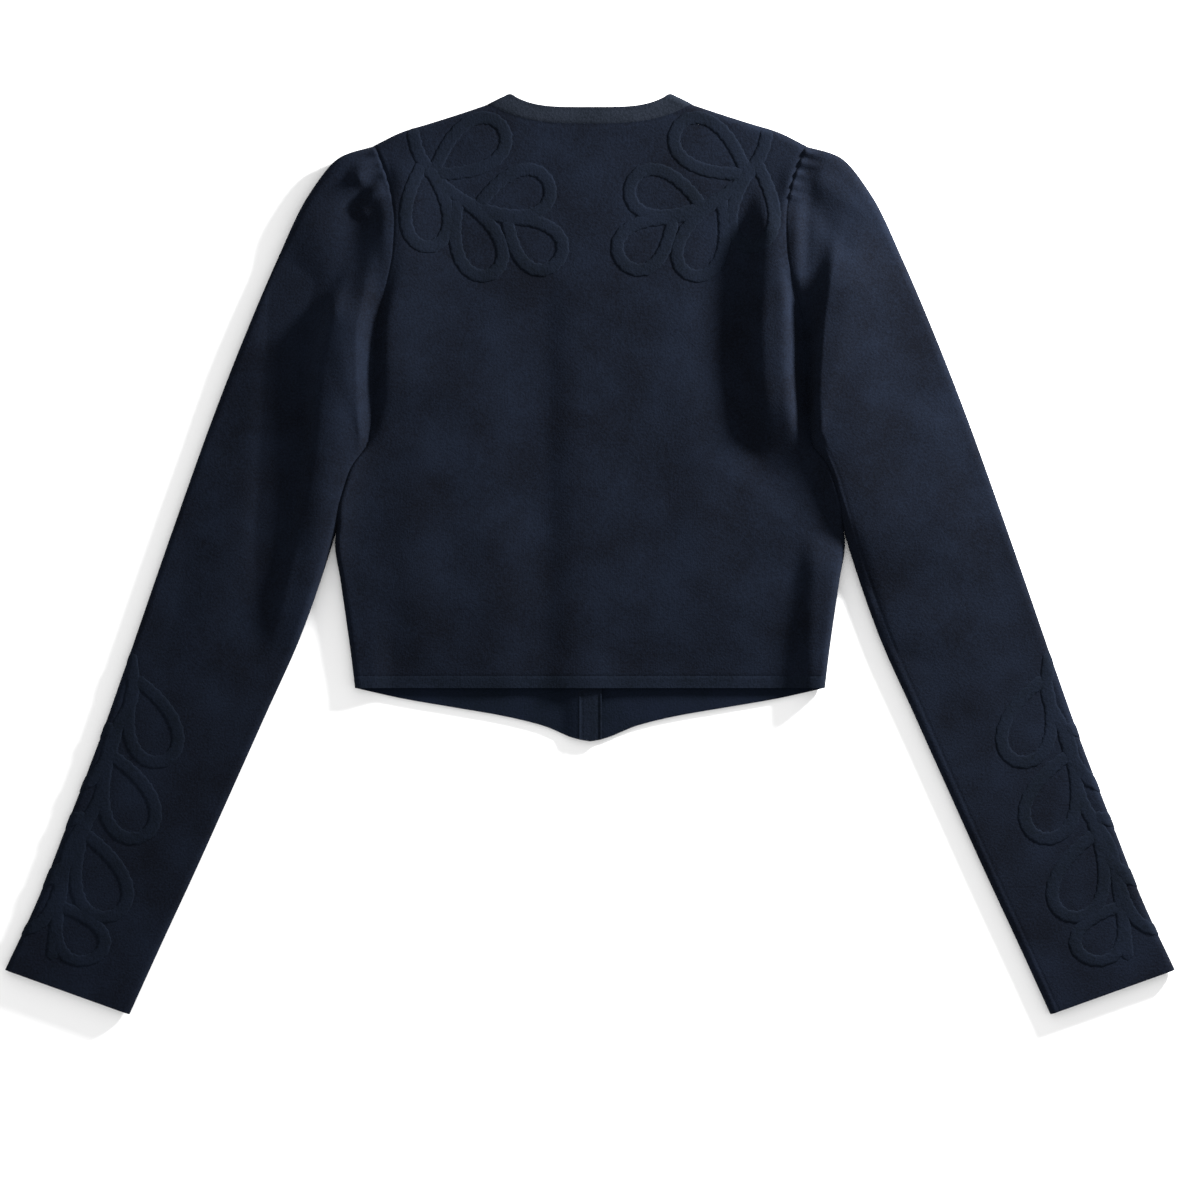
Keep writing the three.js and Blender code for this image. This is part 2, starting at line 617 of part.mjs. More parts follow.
// The way out of the cloth at a point of a surface: across the way that u and v run.
// On a seam of the rounded edge it is level, so that two edges face each other squarely.
function wayOut(surface, u, v, flip, onSeam = 0) {
  const step = 1e-3;
  const along = surface(u + step, v).sub(surface(u - step, v));
  const up = surface(u, v + step).sub(surface(u, v - step));
  const out = along.cross(up).normalize().multiplyScalar(flip);
  return out.setZ(out.z * (1 - onSeam)).normalize();
}

const evenly = (low, high, count) => Array.from({ length: count + 1 }, (_, i) => mix(low, high, i / count));

// Lines of points across a body panel: close together on the rounded edges.
const ROLL_LINES = [0, 2.3, 4.6, 6.9];
const bodyEdgeLines = ROLL_LINES.map((arc) => 1 - arc / (BODY_SIDE[3].x + 2));
const topEdgeLines = ROLL_LINES.map((arc) => 1 - arc / BODY_LENGTH);
const BODY_SCALE = { u: SHOULDER_X + 20, v: BODY_LENGTH + 20 }; // millimetres to a unit of u and v
const byValue = (a, b) => a - b;
const distinct = (values) => [...new Set(values)].sort(byValue);

// Lines that a neckline shares with the neckband, as shares of the way to the shoulder.
const NECK_LINES_BACK = [...evenly(0, 5 / 6, 5), ...ROLL_LINES.map((arc) => 1 - arc / NECK_SEAM_X)];
const FRONT_NECK_RUN = 130; // along half the front neckline
const NECK_LINES_FRONT = [...evenly(0, 0.88, 7), ...ROLL_LINES.map((arc) => 1 - arc / FRONT_NECK_RUN)];

const neckLinesOnBack = NECK_LINES_BACK.map((share) => (share * NECK_SEAM_X) / SHOULDER_X);
const halfLines = [...neckLinesOnBack, ...evenly(0.56, 0.93, 5), ...bodyEdgeLines];
const backLines = distinct(halfLines.flatMap((u) => [-u || 0, u]));
const rows = [...evenly((HEM_BAND + SEAM_GAP) / BODY_LENGTH, 0.96, 22), ...topEdgeLines].sort(byValue);

// The shoulder cords sink into the seam at the top edge, over these heights.
const CORD_FADE_START = 0.985;
const CORD_FADE_END = 0.999;

function backWall() {
  const cords = [-1, 1].flatMap((side) => cordPoints(shoulderCords).map(([x, y]) => [side * x, y]));
  const fine = cords.map(([x, y]) => backCoordinates(x, y)).filter(([, v]) => v < topEdgeLines[2]);
  const outward = (u, v) => wayOut(backSurface, u, v, 1, bodyPlan(u, v, true).onSeam);
  const raised = (u, v) => {
    const p = bodyPlan(u, v, true);
    return cordHeight(shoulderCords, Math.abs(p.x), p.y) * (1 - smooth(CORD_FADE_START, CORD_FADE_END, v));
  };
  return wall({
    name: "back",
    colour: WALL_COLOUR,
    us: backLines,
    vs: rows,
    innerUs: backLines.filter((u, i) => i % 2 === 0 || Math.abs(u) > 0.95),
    innerVs: rows.filter((v, i) => i % 2 === 0 || i === rows.length - 1),
    scale: BODY_SCALE,
    fine,
    outer: (u, v) => backSurface(u, v).addScaledVector(outward(u, v), raised(u, v)),
    inner: (u, v) => backSurface(u, v).addScaledVector(outward(u, v), -CLOTH),
  });
}

function hemBand() {
  const vs = [0, HEM_BAND / BODY_LENGTH];
  const outward = (u, v) => wayOut(backSurface, u, v, 1, bodyPlan(u, v, true).onSeam);
  return wall({
    name: "hem_band",
    colour: BAND_COLOUR,
    us: backLines,
    vs,
    scale: BODY_SCALE,
    outer: backSurface,
    inner: (u, v) => backSurface(u, v).addScaledVector(outward(u, v), -CLOTH),
  });
}

// Each front runs from its band's seam to the side seam.
function frontWall(side) {
  const first = (PLACKET / 2 + SEAM_GAP) / SHOULDER_X;
  const neckLines = NECK_LINES_FRONT.map((share) => mix(first, NECK_SEAM_X / SHOULDER_X, share));
  const outerLines = [...neckLines, ...evenly(0.57, 0.93, 4), ...bodyEdgeLines];
  const us = outerLines.map((u) => side * u).sort(byValue);
  const vs = [...evenly(0, 0.95, 10), ...topEdgeLines].sort(byValue);
  const rimVs = [0, ...rows];
  const surface = (u, v) => {
    const p = frontSurface(u, v);
    const isMiddleEdge = Math.abs(u) <= first + TINY;
    return isMiddleEdge ? p.setX(side * (PLACKET / 2 + SEAM_GAP)) : p;
  };
  const upward = (u, v) => wayOut(frontSurface, u, v, 1, bodyPlan(u, v, false).onSeam);
  return wall({
    name: side < 0 ? "front_left" : "front_right",
    colour: WALL_COLOUR,
    us,
    vs,
    rimVs,
    scale: BODY_SCALE,
    outer: (u, v) => surface(u, v).addScaledVector(upward(u, v), CLOTH),
    inner: surface,
  });
}

// A front band: a straight strip from the front point up to the neck opening.
function placket(name, lowZ) {
  const us = evenly(-1, 1, 2);
  const bottom = (u) => HEM_Y - FRONT_POINT * read(FRONT_HEM, "x", "drop", (Math.abs(u) * PLACKET) / 2);
  const top = FRONT_NECK_Y + NECK_BAND;
  const place = (z) => (u, v) => new THREE.Vector3((u * PLACKET) / 2, mix(bottom(u), top, v), z);
  return wall({
    name,
    colour: BAND_COLOUR,
    us,
    vs: evenly(0, 1, 12),
    scale: { u: PLACKET / 2, v: BODY_LENGTH },
    outer: place(lowZ + CLOTH),
    inner: place(lowZ),
  });
}

// The neckband: a strip that runs from one front band, over the shoulder, round the back of
// the neck and down to the other. Its station is 0 at the middle of the back, 1 where it
// turns over the shoulder and 2 at the front band.
const NECK_LEAN = 153.8; // degrees that the band leans where it turns over the shoulder
const NECK_MITRE = 18.4; // its width there, measured along that lean
function neckbandSurface(station, across) {
  const side = Math.sign(station) || 1;
  const at = Math.abs(station);
  const onBack = at <= 1;
  let seam;
  let edge;
  if (onBack) {
    seam = [NECK_SEAM_X * at, neckSeam(NECK_SEAM_X * at, BACK_NECK_SEAM_Y, 3)];
    edge = [NECK_X * at, mix(BACK_NECK_Y, NECK_TOP_Y, at ** 4)];
  } else {
    const share = 2 - at;
    const x = mix(PLACKET / 2 + SEAM_GAP, NECK_SEAM_X, share);
    seam = [x, neckSeam(x, FRONT_NECK_Y, 2.2)];
    const turned = (mix(90, NECK_LEAN, share ** 0.6) * Math.PI) / 180;
    const wide = mix(NECK_BAND, NECK_MITRE, share ** 4);
    const edgeX = Math.max(PLACKET / 2 + SEAM_GAP, x + wide * Math.cos(turned));
    edge = [edgeX, seam[1] + wide * Math.sin(turned)];
  }
  const share = mix(NECK_SEAM_GAP / NECK_BAND, 1, across);
  const [x, y] = [mix(seam[0], edge[0], share), mix(seam[1], edge[1], share)];
  const roll = shoulderRoll(foldLine(x) - y);
  const low = (SIDE_SEAM - SEAM_GAP) * (1 - roll.share) + frontStep(side * x);
  const z = onBack ? SIDE_SEAM + (BACK_TOP - SIDE_SEAM) * roll.share : low;
  return new THREE.Vector3(side * x, y + roll.saved, z);
}

function neckband() {
  const half = [...NECK_LINES_BACK, ...NECK_LINES_FRONT.map((share) => 2 - share)];
  const us = distinct(half.flatMap((u) => [-u, u]).map((u) => u || 0));
  const outward = (u, v) => wayOut(neckbandSurface, Math.min(Math.max(u, -1.998), 1.998), v, 1);
  return wall({
    name: "neckband",
    colour: BAND_COLOUR,
    us,
    vs: [0, 0.5, 1],
    scale: { u: 100, v: NECK_BAND },
    outer: neckbandSurface,
    inner: (u, v) => neckbandSurface(u, v).addScaledVector(outward(u, v), -CLOTH),
  });
}

const ROLLED_SHARE = 0.07; // of a layer's width, on each rounded edge
const FLAT_LINES = evenly(0.12, 0.86, 8); // lines along a sleeve between its rounded edges
function sleeveWall(side) {
  const inset = (side > 0 ? SEAM_INSET : -SEAM_INSET) / FOREARM_WIDTH;
  const [low, high] = [-1 - inset, 1 - inset - SEAM_GAP / FOREARM_WIDTH];
  const edgeArcs = ROLL_LINES.map((arc) => arc / FOREARM_WIDTH);
  const near = (s) => s > low + 0.02 && s < high - 0.02;
  const lines = new Set([low, high]);
  for (const share of [...edgeArcs, ...edgeArcs.map((arc) => 1 - arc), ...FLAT_LINES]) {
    for (const s of [share, -share, -2 + share, 2 - share]) if (near(s)) lines.add(s);
  }
  const us = [...lines].sort(byValue);
  const vs = evenly(0, 1, 32);
  const toEdge = (s) => Math.min(Math.abs(s), Math.abs(Math.abs(s) - 1));
  const isCoarse = (s, i) => i % 2 === 0 || toEdge(s) < ROLLED_SHARE;
  const surface = (s, v) => sleeveSurface(side, s, v);
  const outward = (s, v) => wayOut(surface, s, Math.min(Math.max(v, 1e-3), 1 - 1e-3), side);
  const skin = (s, v) => {
    const p = sleevePlan(s, v);
    const base = surface(s, v);
    const way = outward(s, v);
    const cord = cordHeight(sleeveCords, s * p.round, (1 - v) * SLEEVE_RUN);
    const raised = cord + gatherHeight(s, v);
    const room = way.z < 0 ? base.z / -way.z : Infinity;
    return base.addScaledVector(way, Math.min(raised, room));
  };
  const cords = cordPoints(sleeveCords).map(([across, up]) => {
    const v = 1 - up / SLEEVE_RUN;
    return [across / sleevePlan(0.5, v).round, v];
  });
  const headRound = sleevePlan(0.5, 0).round;
  const pleats = evenly(-0.5, GATHER_COUNT - 0.5, 2 * GATHER_COUNT);
  const pleatAt = (k) => (GATHER_START + k * GATHER_PITCH) / headRound;
  const gathers = [-1, 1].flatMap((way) => pleats.map((k) => way * pleatAt(k)));
  const fine = [...GATHER_ROWS.flatMap((v) => gathers.map((s) => [s, v])), ...cords];
  return wall({
    name: side < 0 ? "sleeve_left" : "sleeve_right",
    colour: WALL_COLOUR,
    us,
    vs,
    mirrored: side < 0,
    rimUs: [...new Set([...us, ...gathers])].sort(byValue),
    innerUs: us.filter((s, i) => isCoarse(s, i)),
    innerVs: vs.filter((v, i) => i % 2 === 0),
    scale: { u: FOREARM_WIDTH, v: SLEEVE_RUN },
    fine,
    outer: skin,
    inner: (s, v) => surface(s, v).addScaledVector(outward(s, v), -CLOTH),
  });
}

const cardigan = new THREE.Group();
cardigan.add(
  backWall(),
  hemBand(),
  frontWall(-1),
  frontWall(1),
  placket("placket_left", PLACKET_STEP),
  placket("placket_right", 0),
  neckband(),
  sleeveWall(-1),
  sleeveWall(1),
);
cardigan.position.y = SHAPE_SHIFT_Y;

export default cardigan;
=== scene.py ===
"""A navy cropped cardigan with puffed sleeve heads, laid face down on a pale table.

Shapes are worked out in millimetres, in the frame of the CAD part, and meshed in metres.
+Z is up, +Y runs from the hem to the neck and +X is the wearer's right.
"""

import logging
import math
from collections.abc import Callable, Sequence
from dataclasses import dataclass, field
from enum import Enum
from functools import cached_property

import bpy
import numpy as np
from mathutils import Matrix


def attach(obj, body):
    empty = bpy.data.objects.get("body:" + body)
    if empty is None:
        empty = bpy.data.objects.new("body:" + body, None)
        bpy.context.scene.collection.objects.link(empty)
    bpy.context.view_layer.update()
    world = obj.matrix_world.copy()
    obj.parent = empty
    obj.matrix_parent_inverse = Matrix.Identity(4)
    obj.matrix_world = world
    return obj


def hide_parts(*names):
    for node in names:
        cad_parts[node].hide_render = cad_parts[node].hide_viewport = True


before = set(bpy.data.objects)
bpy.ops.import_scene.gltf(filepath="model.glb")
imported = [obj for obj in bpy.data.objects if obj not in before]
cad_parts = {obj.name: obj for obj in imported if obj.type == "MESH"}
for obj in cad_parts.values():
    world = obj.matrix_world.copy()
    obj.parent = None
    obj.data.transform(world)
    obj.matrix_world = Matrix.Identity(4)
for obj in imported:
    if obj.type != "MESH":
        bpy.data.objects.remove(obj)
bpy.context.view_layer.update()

LOG = logging.getLogger("cardigan")
MM = 0.001
Array = np.ndarray
Surface = Callable[[Array, Array], Array]


class Side(Enum):
    """A side of the garment, with the sign of its x."""

    LEFT = -1
    RIGHT = 1

    @property
    def word(self) -> str:
        """The side's name in lower case, as the CAD nodes have it."""
        return self.name.lower()


class Panel(Enum):
    """Which of the two body layers a point is on."""

    BACK = "back"
    FRONT = "front"


def mix(a: Array | float, b: Array | float, share: Array | float) -> Array:
    """Go from a to b by a share: a plus the share of their difference."""
    return a + (b - a) * share


def smooth(low: float, high: float, x: Array) -> Array:
    """Rise from 0 at low to 1 at high: three times the share squared, less twice its cube."""
    share = np.clip((x - low) / (high - low), 0, 1)
    return share * share * (3 - 2 * share)


def bell(x: Array, reach: float) -> Array:
    """Fall off from 1: e to the minus square of x over its reach."""
    return np.exp(-((x / reach) ** 2))


@dataclass(frozen=True)
class Curve:
    """A smooth curve through a short table that never overshoots it."""

    keys: tuple[float, ...]
    values: tuple[float, ...]

    def __call__(self, at: Array) -> Array:
        """Read the curve: a cubic on each span, with the harmonic mean of the slopes at its ends.

        Args:
            at: Where to read it, in the unit of the keys. Outside the table it holds the end.

        Returns:
            The value at each place.
        """
        keys, values = np.array(self.keys), np.array(self.values)
        if keys[-1] < keys[0]:
            keys, values = keys[::-1], values[::-1]
        slope = np.diff(values) / np.diff(keys)
        before, after = slope[:-1], slope[1:]
        total = np.where(before + after == 0, 1, before + after)
        inner = np.where(before * after > 0, 2 * before * after / total, 0)
        tangent = np.concatenate(([slope[0]], inner, [slope[-1]]))
        i = np.clip(np.searchsorted(keys, at) - 1, 0, len(keys) - 2)
        span = keys[i + 1] - keys[i]
        t = np.clip((at - keys[i]) / span, 0, 1)
        return (
            (2 * t**3 - 3 * t**2 + 1) * values[i]
            + (t**3 - 2 * t**2 + t) * span * tangent[i]
            + (3 * t**2 - 2 * t**3) * values[i + 1]
            + (t**3 - t**2) * span * tangent[i + 1]
        )


@dataclass(frozen=True)
class Cloth:
    """The knit and how it lies: heights above the table, in millimetres."""

    thickness: float = 1.8
    seam_gap: float = 0.3
    back_top: float = 7.4
    side_seam: float = 3.9
    edge_roll: float = 5.0
    armhole_low: float = 4.5
    hem_drop: float = 3.1
    shift_y: float = -0.23

    @property
    def step(self) -> float:
        """How far one front band lies above the other."""
        return self.thickness + self.seam_gap


CLOTH = Cloth()


def rolled(arc: Array, roll: Array | float, height: Array | float) -> tuple[Array, Array, Array]:
    """Turn cloth round an edge: a quarter of an ellipse, then flat.

    Args:
        arc: Distance along the cloth from its outermost line.
        roll: How far in the rounding reaches.
        height: How high it rises.

    Returns:
        The distance in from the edge (roll less its cosine part), the share of the height
        (the sine of the same angle), and the length of the quarter turn.
    """
    quarter = (roll + height) * math.pi / 4
    angle = np.clip(arc / quarter, 0, 1) * math.pi / 2
    flat = np.maximum(0, arc - quarter)
    return roll * (1 - np.cos(angle)) + flat, np.sin(angle), quarter


def catmull(points: Sequence[tuple[float, float]], pieces: int) -> Array:
    """Carry a smooth line through a few points, even in its own length.

    Each span blends its two ends and their neighbours by the centripetal Catmull-Rom weights.

    Args:
        points: The points to pass through, in order.
        pieces: How many equal pieces the line gets.

    Returns:
        Points of the line, one more than its pieces.
    """
    p = np.array(points, float)
    p = np.vstack([2 * p[0] - p[1], p, 2 * p[-1] - p[-2]])
    knots = np.concatenate(([0], np.cumsum(np.sqrt(np.linalg.norm(np.diff(p, axis=0), axis=1)))))
    at = np.linspace(knots[1], knots[-2], 16 * len(points))[:, None]
    i = np.clip(np.searchsorted(knots, at[:, 0], side="right") - 1, 1, len(p) - 3)

    def blend(a: Array, b: Array, low: Array, high: Array) -> Array:
        """Blend two sets of points by where each place lies between two knots."""
        return ((high - at) * a + (at - low) * b) / (high - low)

    t = [knots[i + k][:, None] for k in (-1, 0, 1, 2)]
    q = [p[i + k] for k in (-1, 0, 1, 2)]
    a = [blend(q[k], q[k + 1], t[k], t[k + 1]) for k in range(3)]
    b = [blend(a[k], a[k + 1], t[k], t[k + 2]) for k in range(2)]
    line = blend(b[0], b[1], t[1], t[2])
    return evenly_spaced(line, pieces)


def evenly_spaced(line: Array, pieces: int) -> Array:
    """Set points at equal distances along a line."""
    run = np.concatenate(([0], np.cumsum(np.linalg.norm(np.diff(line, axis=0), axis=1))))
    at = np.linspace(0, run[-1], pieces + 1)
    return np.stack([np.interp(at, run, line[:, k]) for k in range(line.shape[1])], axis=1)


def nearest(path: Array, x: Array, y: Array) -> tuple[Array, Array, Array]:
    """Measure points against a line of straight pieces.

    Args:
        path: Points of the line.
        x: Places to measure, across.
        y: Places to measure, up.

    Returns:
        The distance to the closest piece, the side of it in x, and the share of the way along.
    """
    distance = np.full(np.shape(x), np.inf)
    side, along = np.ones(np.shape(x)), np.zeros(np.shape(x))
    count = len(path) - 1
    for i, (start, end) in enumerate(zip(path[:-1], path[1:])):
        way = end - start
        share = np.clip(((x - start[0]) * way[0] + (y - start[1]) * way[1]) / (way @ way), 0, 1)
        px, py = x - start[0] - share * way[0], y - start[1] - share * way[1]
        d = np.hypot(px, py)
        closer = d < distance
        distance = np.where(closer, d, distance)
        side = np.where(closer, np.where(px < 0, -1, 1), side)
        along = np.where(closer, (i + share) / count, along)
    return distance, side, along


@dataclass(frozen=True)
class Fold:
    """One soft ridge or trough: its path, its height, its reach to either side, its crown.

    The crown is the power of the bell across it: 2 is round, and more is flatter on top.
    """

    path: tuple[tuple[float, float], ...]
    rise: float
    left: float
    right: float
    crown: float = 2

    def height(self, x: Array, y: Array) -> Array:
        """Raise a bell across the path that fades out at both of its ends."""
        distance, side, along = nearest(catmull(self.path, 14), x, y)
        ends = smooth(0, 0.2, along) * (1 - smooth(0.75, 1, along))
        reach = np.where(side < 0, self.left, self.right)
        return self.rise * ends * np.exp(-((distance / reach) ** self.crown))


# The upper layer's main folds. The left sleeve and body side have negative x.
FOLDS = (
    Fold(((-33, 236), (-36, 168), (-35, 112), (-35, 40), (-35, -34), (-38, -130)), -2.2, 34, 15),
    Fold(((143, 282), (141, 245), (139, 205), (137, 160), (140, 112), (148, 62)), 12, 19, 16, 4),
    Fold(((-157, 302), (-150, 258), (-148, 205), (-157, 150), (-160, 96)), 4.8, 7, 34),
    Fold(((176, 20), (171, -50), (173, -150)), 5.6, 14, 17, 3),
    Fold(((-66, 40), (-66, -40), (-64, -130)), 0.9, 28, 20),
    Fold(((-120, 110), (-132, 40), (-130, -30), (-118, -110)), 0.8, 16, 20),
    Fold(((70, 140), (84, 60), (80, -40)), 0.6, 18, 18),
    Fold(((108, 260), (103, 200), (106, 150), (124, 90), (150, 48), (174, 24)), -2.6, 20, 22),
    Fold(
        ((-158, 228), (-177, 202), (-195, 150), (-201, 91), (-208, 41), (-219, -9), (-238, -90)),
        8.4,
        12,
        27,
        3,
    ),
    Fold(((-165, 278), (-171, 252), (-177, 222), (-188, 176)), -5, 20, 12),
    Fold(((-152, 297), (-162, 292), (-170, 286), (-178, 276)), 3.6, 6, 6),
    Fold(((-146, 286), (-160, 279), (-172, 269), (-184, 252)), -3.0, 4, 4),
    Fold(((-150, 275), (-159, 270), (-166, 262), (-174, 250)), 3.4, 7, 7),
    Fold(((-208, 250), (-221, 180), (-226, 111), (-229, 41), (-236, -50)), -4.2, 20, 20, 3),
    Fold(((-254, 70), (-276, -10), (-300, -100)), 0.8, 18, 20),
    Fold(((156, 272), (176, 250), (196, 218)), -1.6, 9, 10),
    Fold(((164, 280), (188, 268), (212, 246)), 0.8, 7, 9),
    Fold(
        ((190, 258), (181, 208), (175, 160), (174, 96), (185, 54), (200, 12), (214, -30)), 7.4, 8, 52
    ),
    Fold(((180, 300), (172, 250), (166, 210), (164, 176)), 2.4, 18, 30),
    Fold(((200, 36), (216, -15), (236, -90)), 1.2, 8, 40),
    Fold(((248, 122), (262, 40), (272, -30)), 1.2, 24, 24),
)


def fold_height(x: Array, y: Array) -> Array:
    """Add up what the main folds raise or lower the upper layer."""
    return sum(fold.height(x, y) for fold in FOLDS)


def slack(x: Array, y: Array) -> Array:
    """Let the knit undulate: a few long sine waves across each other, under half a millimetre."""
    waves = ((71, 0.3, 0.4), (47, 1.35, 1.9), (33, -0.7, 0.2), (58, 2.3, 3.1), (24, 0.95, 5.0))
    return sum(
        0.0012 * length * np.sin(2 * math.pi * (x * math.cos(turn) + y * math.sin(turn)) / length + lag)
        for length, turn, lag in waves
    )


@dataclass(frozen=True)
class SeamRise:
    """How far a fold lifts an armhole seam, and the heights on the body between which it does."""

    rise: float
    low_y: float
    full_y: float
    fade_y: float
    end_y: float

    def __call__(self, y: Array) -> Array:
        """Rise smoothly from the low end to the full height, and fall again at the top."""
        up = self.rise * smooth(self.low_y, self.full_y, y)
        return up * (1 - smooth(self.fade_y, self.end_y, y))


ARMHOLE_RISES = {
    Side.LEFT: SeamRise(rise=4.4, low_y=110, full_y=190, fade_y=252, end_y=286),
    Side.RIGHT: SeamRise(rise=10, low_y=166, full_y=214, fade_y=238, end_y=304),
}


@dataclass(frozen=True)
class BodyShape:
    """Plan and heights of the body, shared by the back, the hem band and the fronts."""

    hem_y: float = -100
    shoulder_x: float = 162
    shoulder_y: float = 306
    underarm_y: float = 86
    hem_band: float = 9
    front_point: float = 40
    neck_band: float = 12.5
    neck_x: float = 61.5
    neck_top_y: float = 344.6
    back_neck_y: float = 333.2
    neck_seam_x: float = 78
    neck_seam_top_y: float = 336.5
    front_neck_y: float = 232
    placket: float = 17.5
    back_neck_power: float = 3
    front_neck_power: float = 2.2
    lap: float = 3.5
    underarm_gap: float = 0.7
    tuck_y: tuple[float, float] = (18, 40)
    ease_y: tuple[float, float] = (64, 86)
    sunk_y: tuple[float, float] = (176, 232)
    hem_slope: float = 70
    bands_x: float = -4
    bands_reach: float = 26
    side_x: tuple[float, float] = (146, 164)
    step_run: tuple[float, float] = (13, 1)
    side: Curve = Curve(
        (-100, -79, -49, -19, 8, 24, 56, 86, 116, 146, 171, 190, 206, 228, 250, 273, 291, 306),
        (176, 178.5, 182.6, 187, 191, 189, 179, 166.5, 163, 162.4, 160.5, 156)
        + (151.8, 147.8, 146.8, 150, 156, 162),
    )
    shoulder_line: Curve = Curve((78, 101, 120, 141, 162), (336.5, 328.9, 322.9, 316.4, 306))
    front_hem: Curve = Curve((0, 9, 36, 66, 103, 140, 176), (1, 0.96, 0.7, 0.52, 0.36, 0.2, 0))
    sleeve_inner: Curve = Curve(
        (-62, -2, 61, 72.5, 77, 80, 83, 86), (218, 197, 178.6, 173, 170.4, 169, 168, 167.2)
    )

    @property
    def length(self) -> float:
        """From the hem to the shoulder point."""
        return self.shoulder_y - self.hem_y

    def half_width(self, y: Array) -> Array:
        """Half the body's width, tucked under the inner edge of the sleeve below the underarm."""
        wide = self.side(y)
        under = self.sleeve_inner(y) + mix(self.lap, -self.underarm_gap, smooth(*self.ease_y, y))
        tucked = mix(np.minimum(wide, under), under, smooth(*self.tuck_y, y))
        return np.where(y < self.underarm_y, tucked, wide)

    def neck_seam(self, x: Array, low: float, power: float) -> Array:
        """The neckline: its lowest height plus a power of the share of the way out."""
        share = np.clip(x / self.neck_seam_x, 0, None)
        return low + (self.neck_seam_top_y - low) * share**power

    def top(self, x: Array, panel: Panel) -> Array:
        """The top edge: the neckline as far as its seam, then the shoulder line."""
        if panel is Panel.BACK:
            neck = self.neck_seam(x, self.back_neck_y - self.neck_band, self.back_neck_power)
        else:
            neck = self.neck_seam(x, self.front_neck_y, self.front_neck_power)
        return np.where(x < self.neck_seam_x, neck, self.shoulder_line(x))

    def fold_line(self, x: Array) -> Array:
        """The line over which the shoulders and the neckband turn to the front."""
        slope = (self.neck_top_y - self.neck_seam_top_y) / (self.neck_seam_x - self.neck_x)
        neck = self.neck_seam_top_y + (self.neck_seam_x - x) * slope
        return np.where(x < self.neck_seam_x, neck, self.shoulder_line(x))

    def shoulder_roll(self, arc: Array) -> tuple[Array, Array]:
        """How high the cloth has come over the fold, and how much shorter it looks."""
        far = np.maximum(0, arc)
        inset, share, _ = rolled(far, CLOTH.edge_roll, CLOTH.side_seam - CLOTH.seam_gap)
        return share, far - inset

    def plan(self, u: Array, v: Array, panel: Panel) -> dict[str, Array]:
        """Place a panel's own coordinates on the table.

        Across, the distance from the side is u's share of the half width, turned round the edge.
        Up, the hem's height goes to the shoulder's by v, plus the top's shape by v cubed, less
        the front point by (1 - v) squared.

        Args:
            u: Across, from -1 at the left side to 1 at the right.
            v: Up, from 0 at the hem to 1 at the top edge.
            panel: The layer.

        Returns:
            x and y, the share of the full height at sides and shoulders, the distance to the
            armhole, and the height up the side.
        """
        u, v = np.broadcast_arrays(u, v)
        side_y = mix(self.hem_y, self.shoulder_y, v)
        half = self.half_width(side_y)
        rise = CLOTH.side_seam - CLOTH.seam_gap
        quarter = (CLOTH.edge_roll + rise) * math.pi / 4
        arc = (1 - np.abs(u)) * (half - CLOTH.edge_roll + quarter)
        inset, share, _ = rolled(arc, CLOTH.edge_roll, rise)
        turned = 1 - smooth(self.underarm_y - 8, self.underarm_y + 12, side_y)
        x = np.sign(u) * np.maximum(0, half - mix((1 - np.abs(u)) * half, inset, turned))
        along = np.abs(u) * self.shoulder_x
        top = self.top(along, panel)
        y = side_y + (top - self.shoulder_y) * v**3
        if panel is Panel.FRONT:
            y = y - self.front_point * self.front_hem(np.abs(x)) * (1 - v) ** 2
        top_arc = self.fold_line(along) - top
        top_arc = top_arc + (1 - v) * (self.length + 3 * (top - self.shoulder_y))
        over, saved = self.shoulder_roll(top_arc)
        return {
            "x": x,
            "y": y + saved * v * v,
            "side_share": mix(1, share, turned),
            "shoulder_share": over,
            "to_armhole": half - np.abs(x),
            "side_y": side_y,
        }

    def rest_height(self, x: Array, y: Array) -> Array:
        """How high the back lies before its folds: lower at the hem, less over bands and sides."""
        at_hem = 1 - smooth(self.hem_y, self.hem_y + self.hem_slope, y)
        over_bands = 1 - 0.7 * bell(x - self.bands_x, self.bands_reach)
        flat = over_bands * (1 - 0.8 * smooth(*self.side_x, np.abs(x)))
        return CLOTH.back_top - CLOTH.hem_drop * at_hem * flat

    def armhole_height(self, x: Array, y: Array) -> Array:
        """How high the armhole seam lies: sunk low down, high at the shoulder, with its rise."""
        rise = np.where(x < 0, ARMHOLE_RISES[Side.LEFT](y), ARMHOLE_RISES[Side.RIGHT](y))
        return mix(CLOTH.armhole_low, CLOTH.back_top, smooth(*self.sunk_y, y)) + rise

    def armhole(self, t: Array) -> tuple[Array, Array]:
        """The armhole seam, from the shoulder point at 0 to the underarm at 1."""
        y = mix(self.shoulder_y, self.underarm_y, t)
        return self.side(y), y

    def front_step(self, x: Array) -> Array:
        """Lift the left front beside the band it carries, over the other band."""
        far, close = self.step_run
        near = smooth(self.placket / 2 + far, self.placket / 2 + close, -x)
        return np.where(x < 0, CLOTH.step * near, 0)


BODY = BodyShape()


@dataclass(frozen=True)
class Groove:
    """A sewn line pressed into the cloth, or with a negative depth a bead along an edge."""

    depth: float = 0.7
    reach: float = 1.3

    def __call__(self, distance: Array) -> Array:
        """Sink the cloth by its depth times a bell across the line."""
        return -self.depth * bell(distance, self.reach)


SEAM = Groove()
FINE_SEAM = Groove(depth=0.25, reach=0.8)
CORD_EDGE = Groove(depth=0.25, reach=0.7)


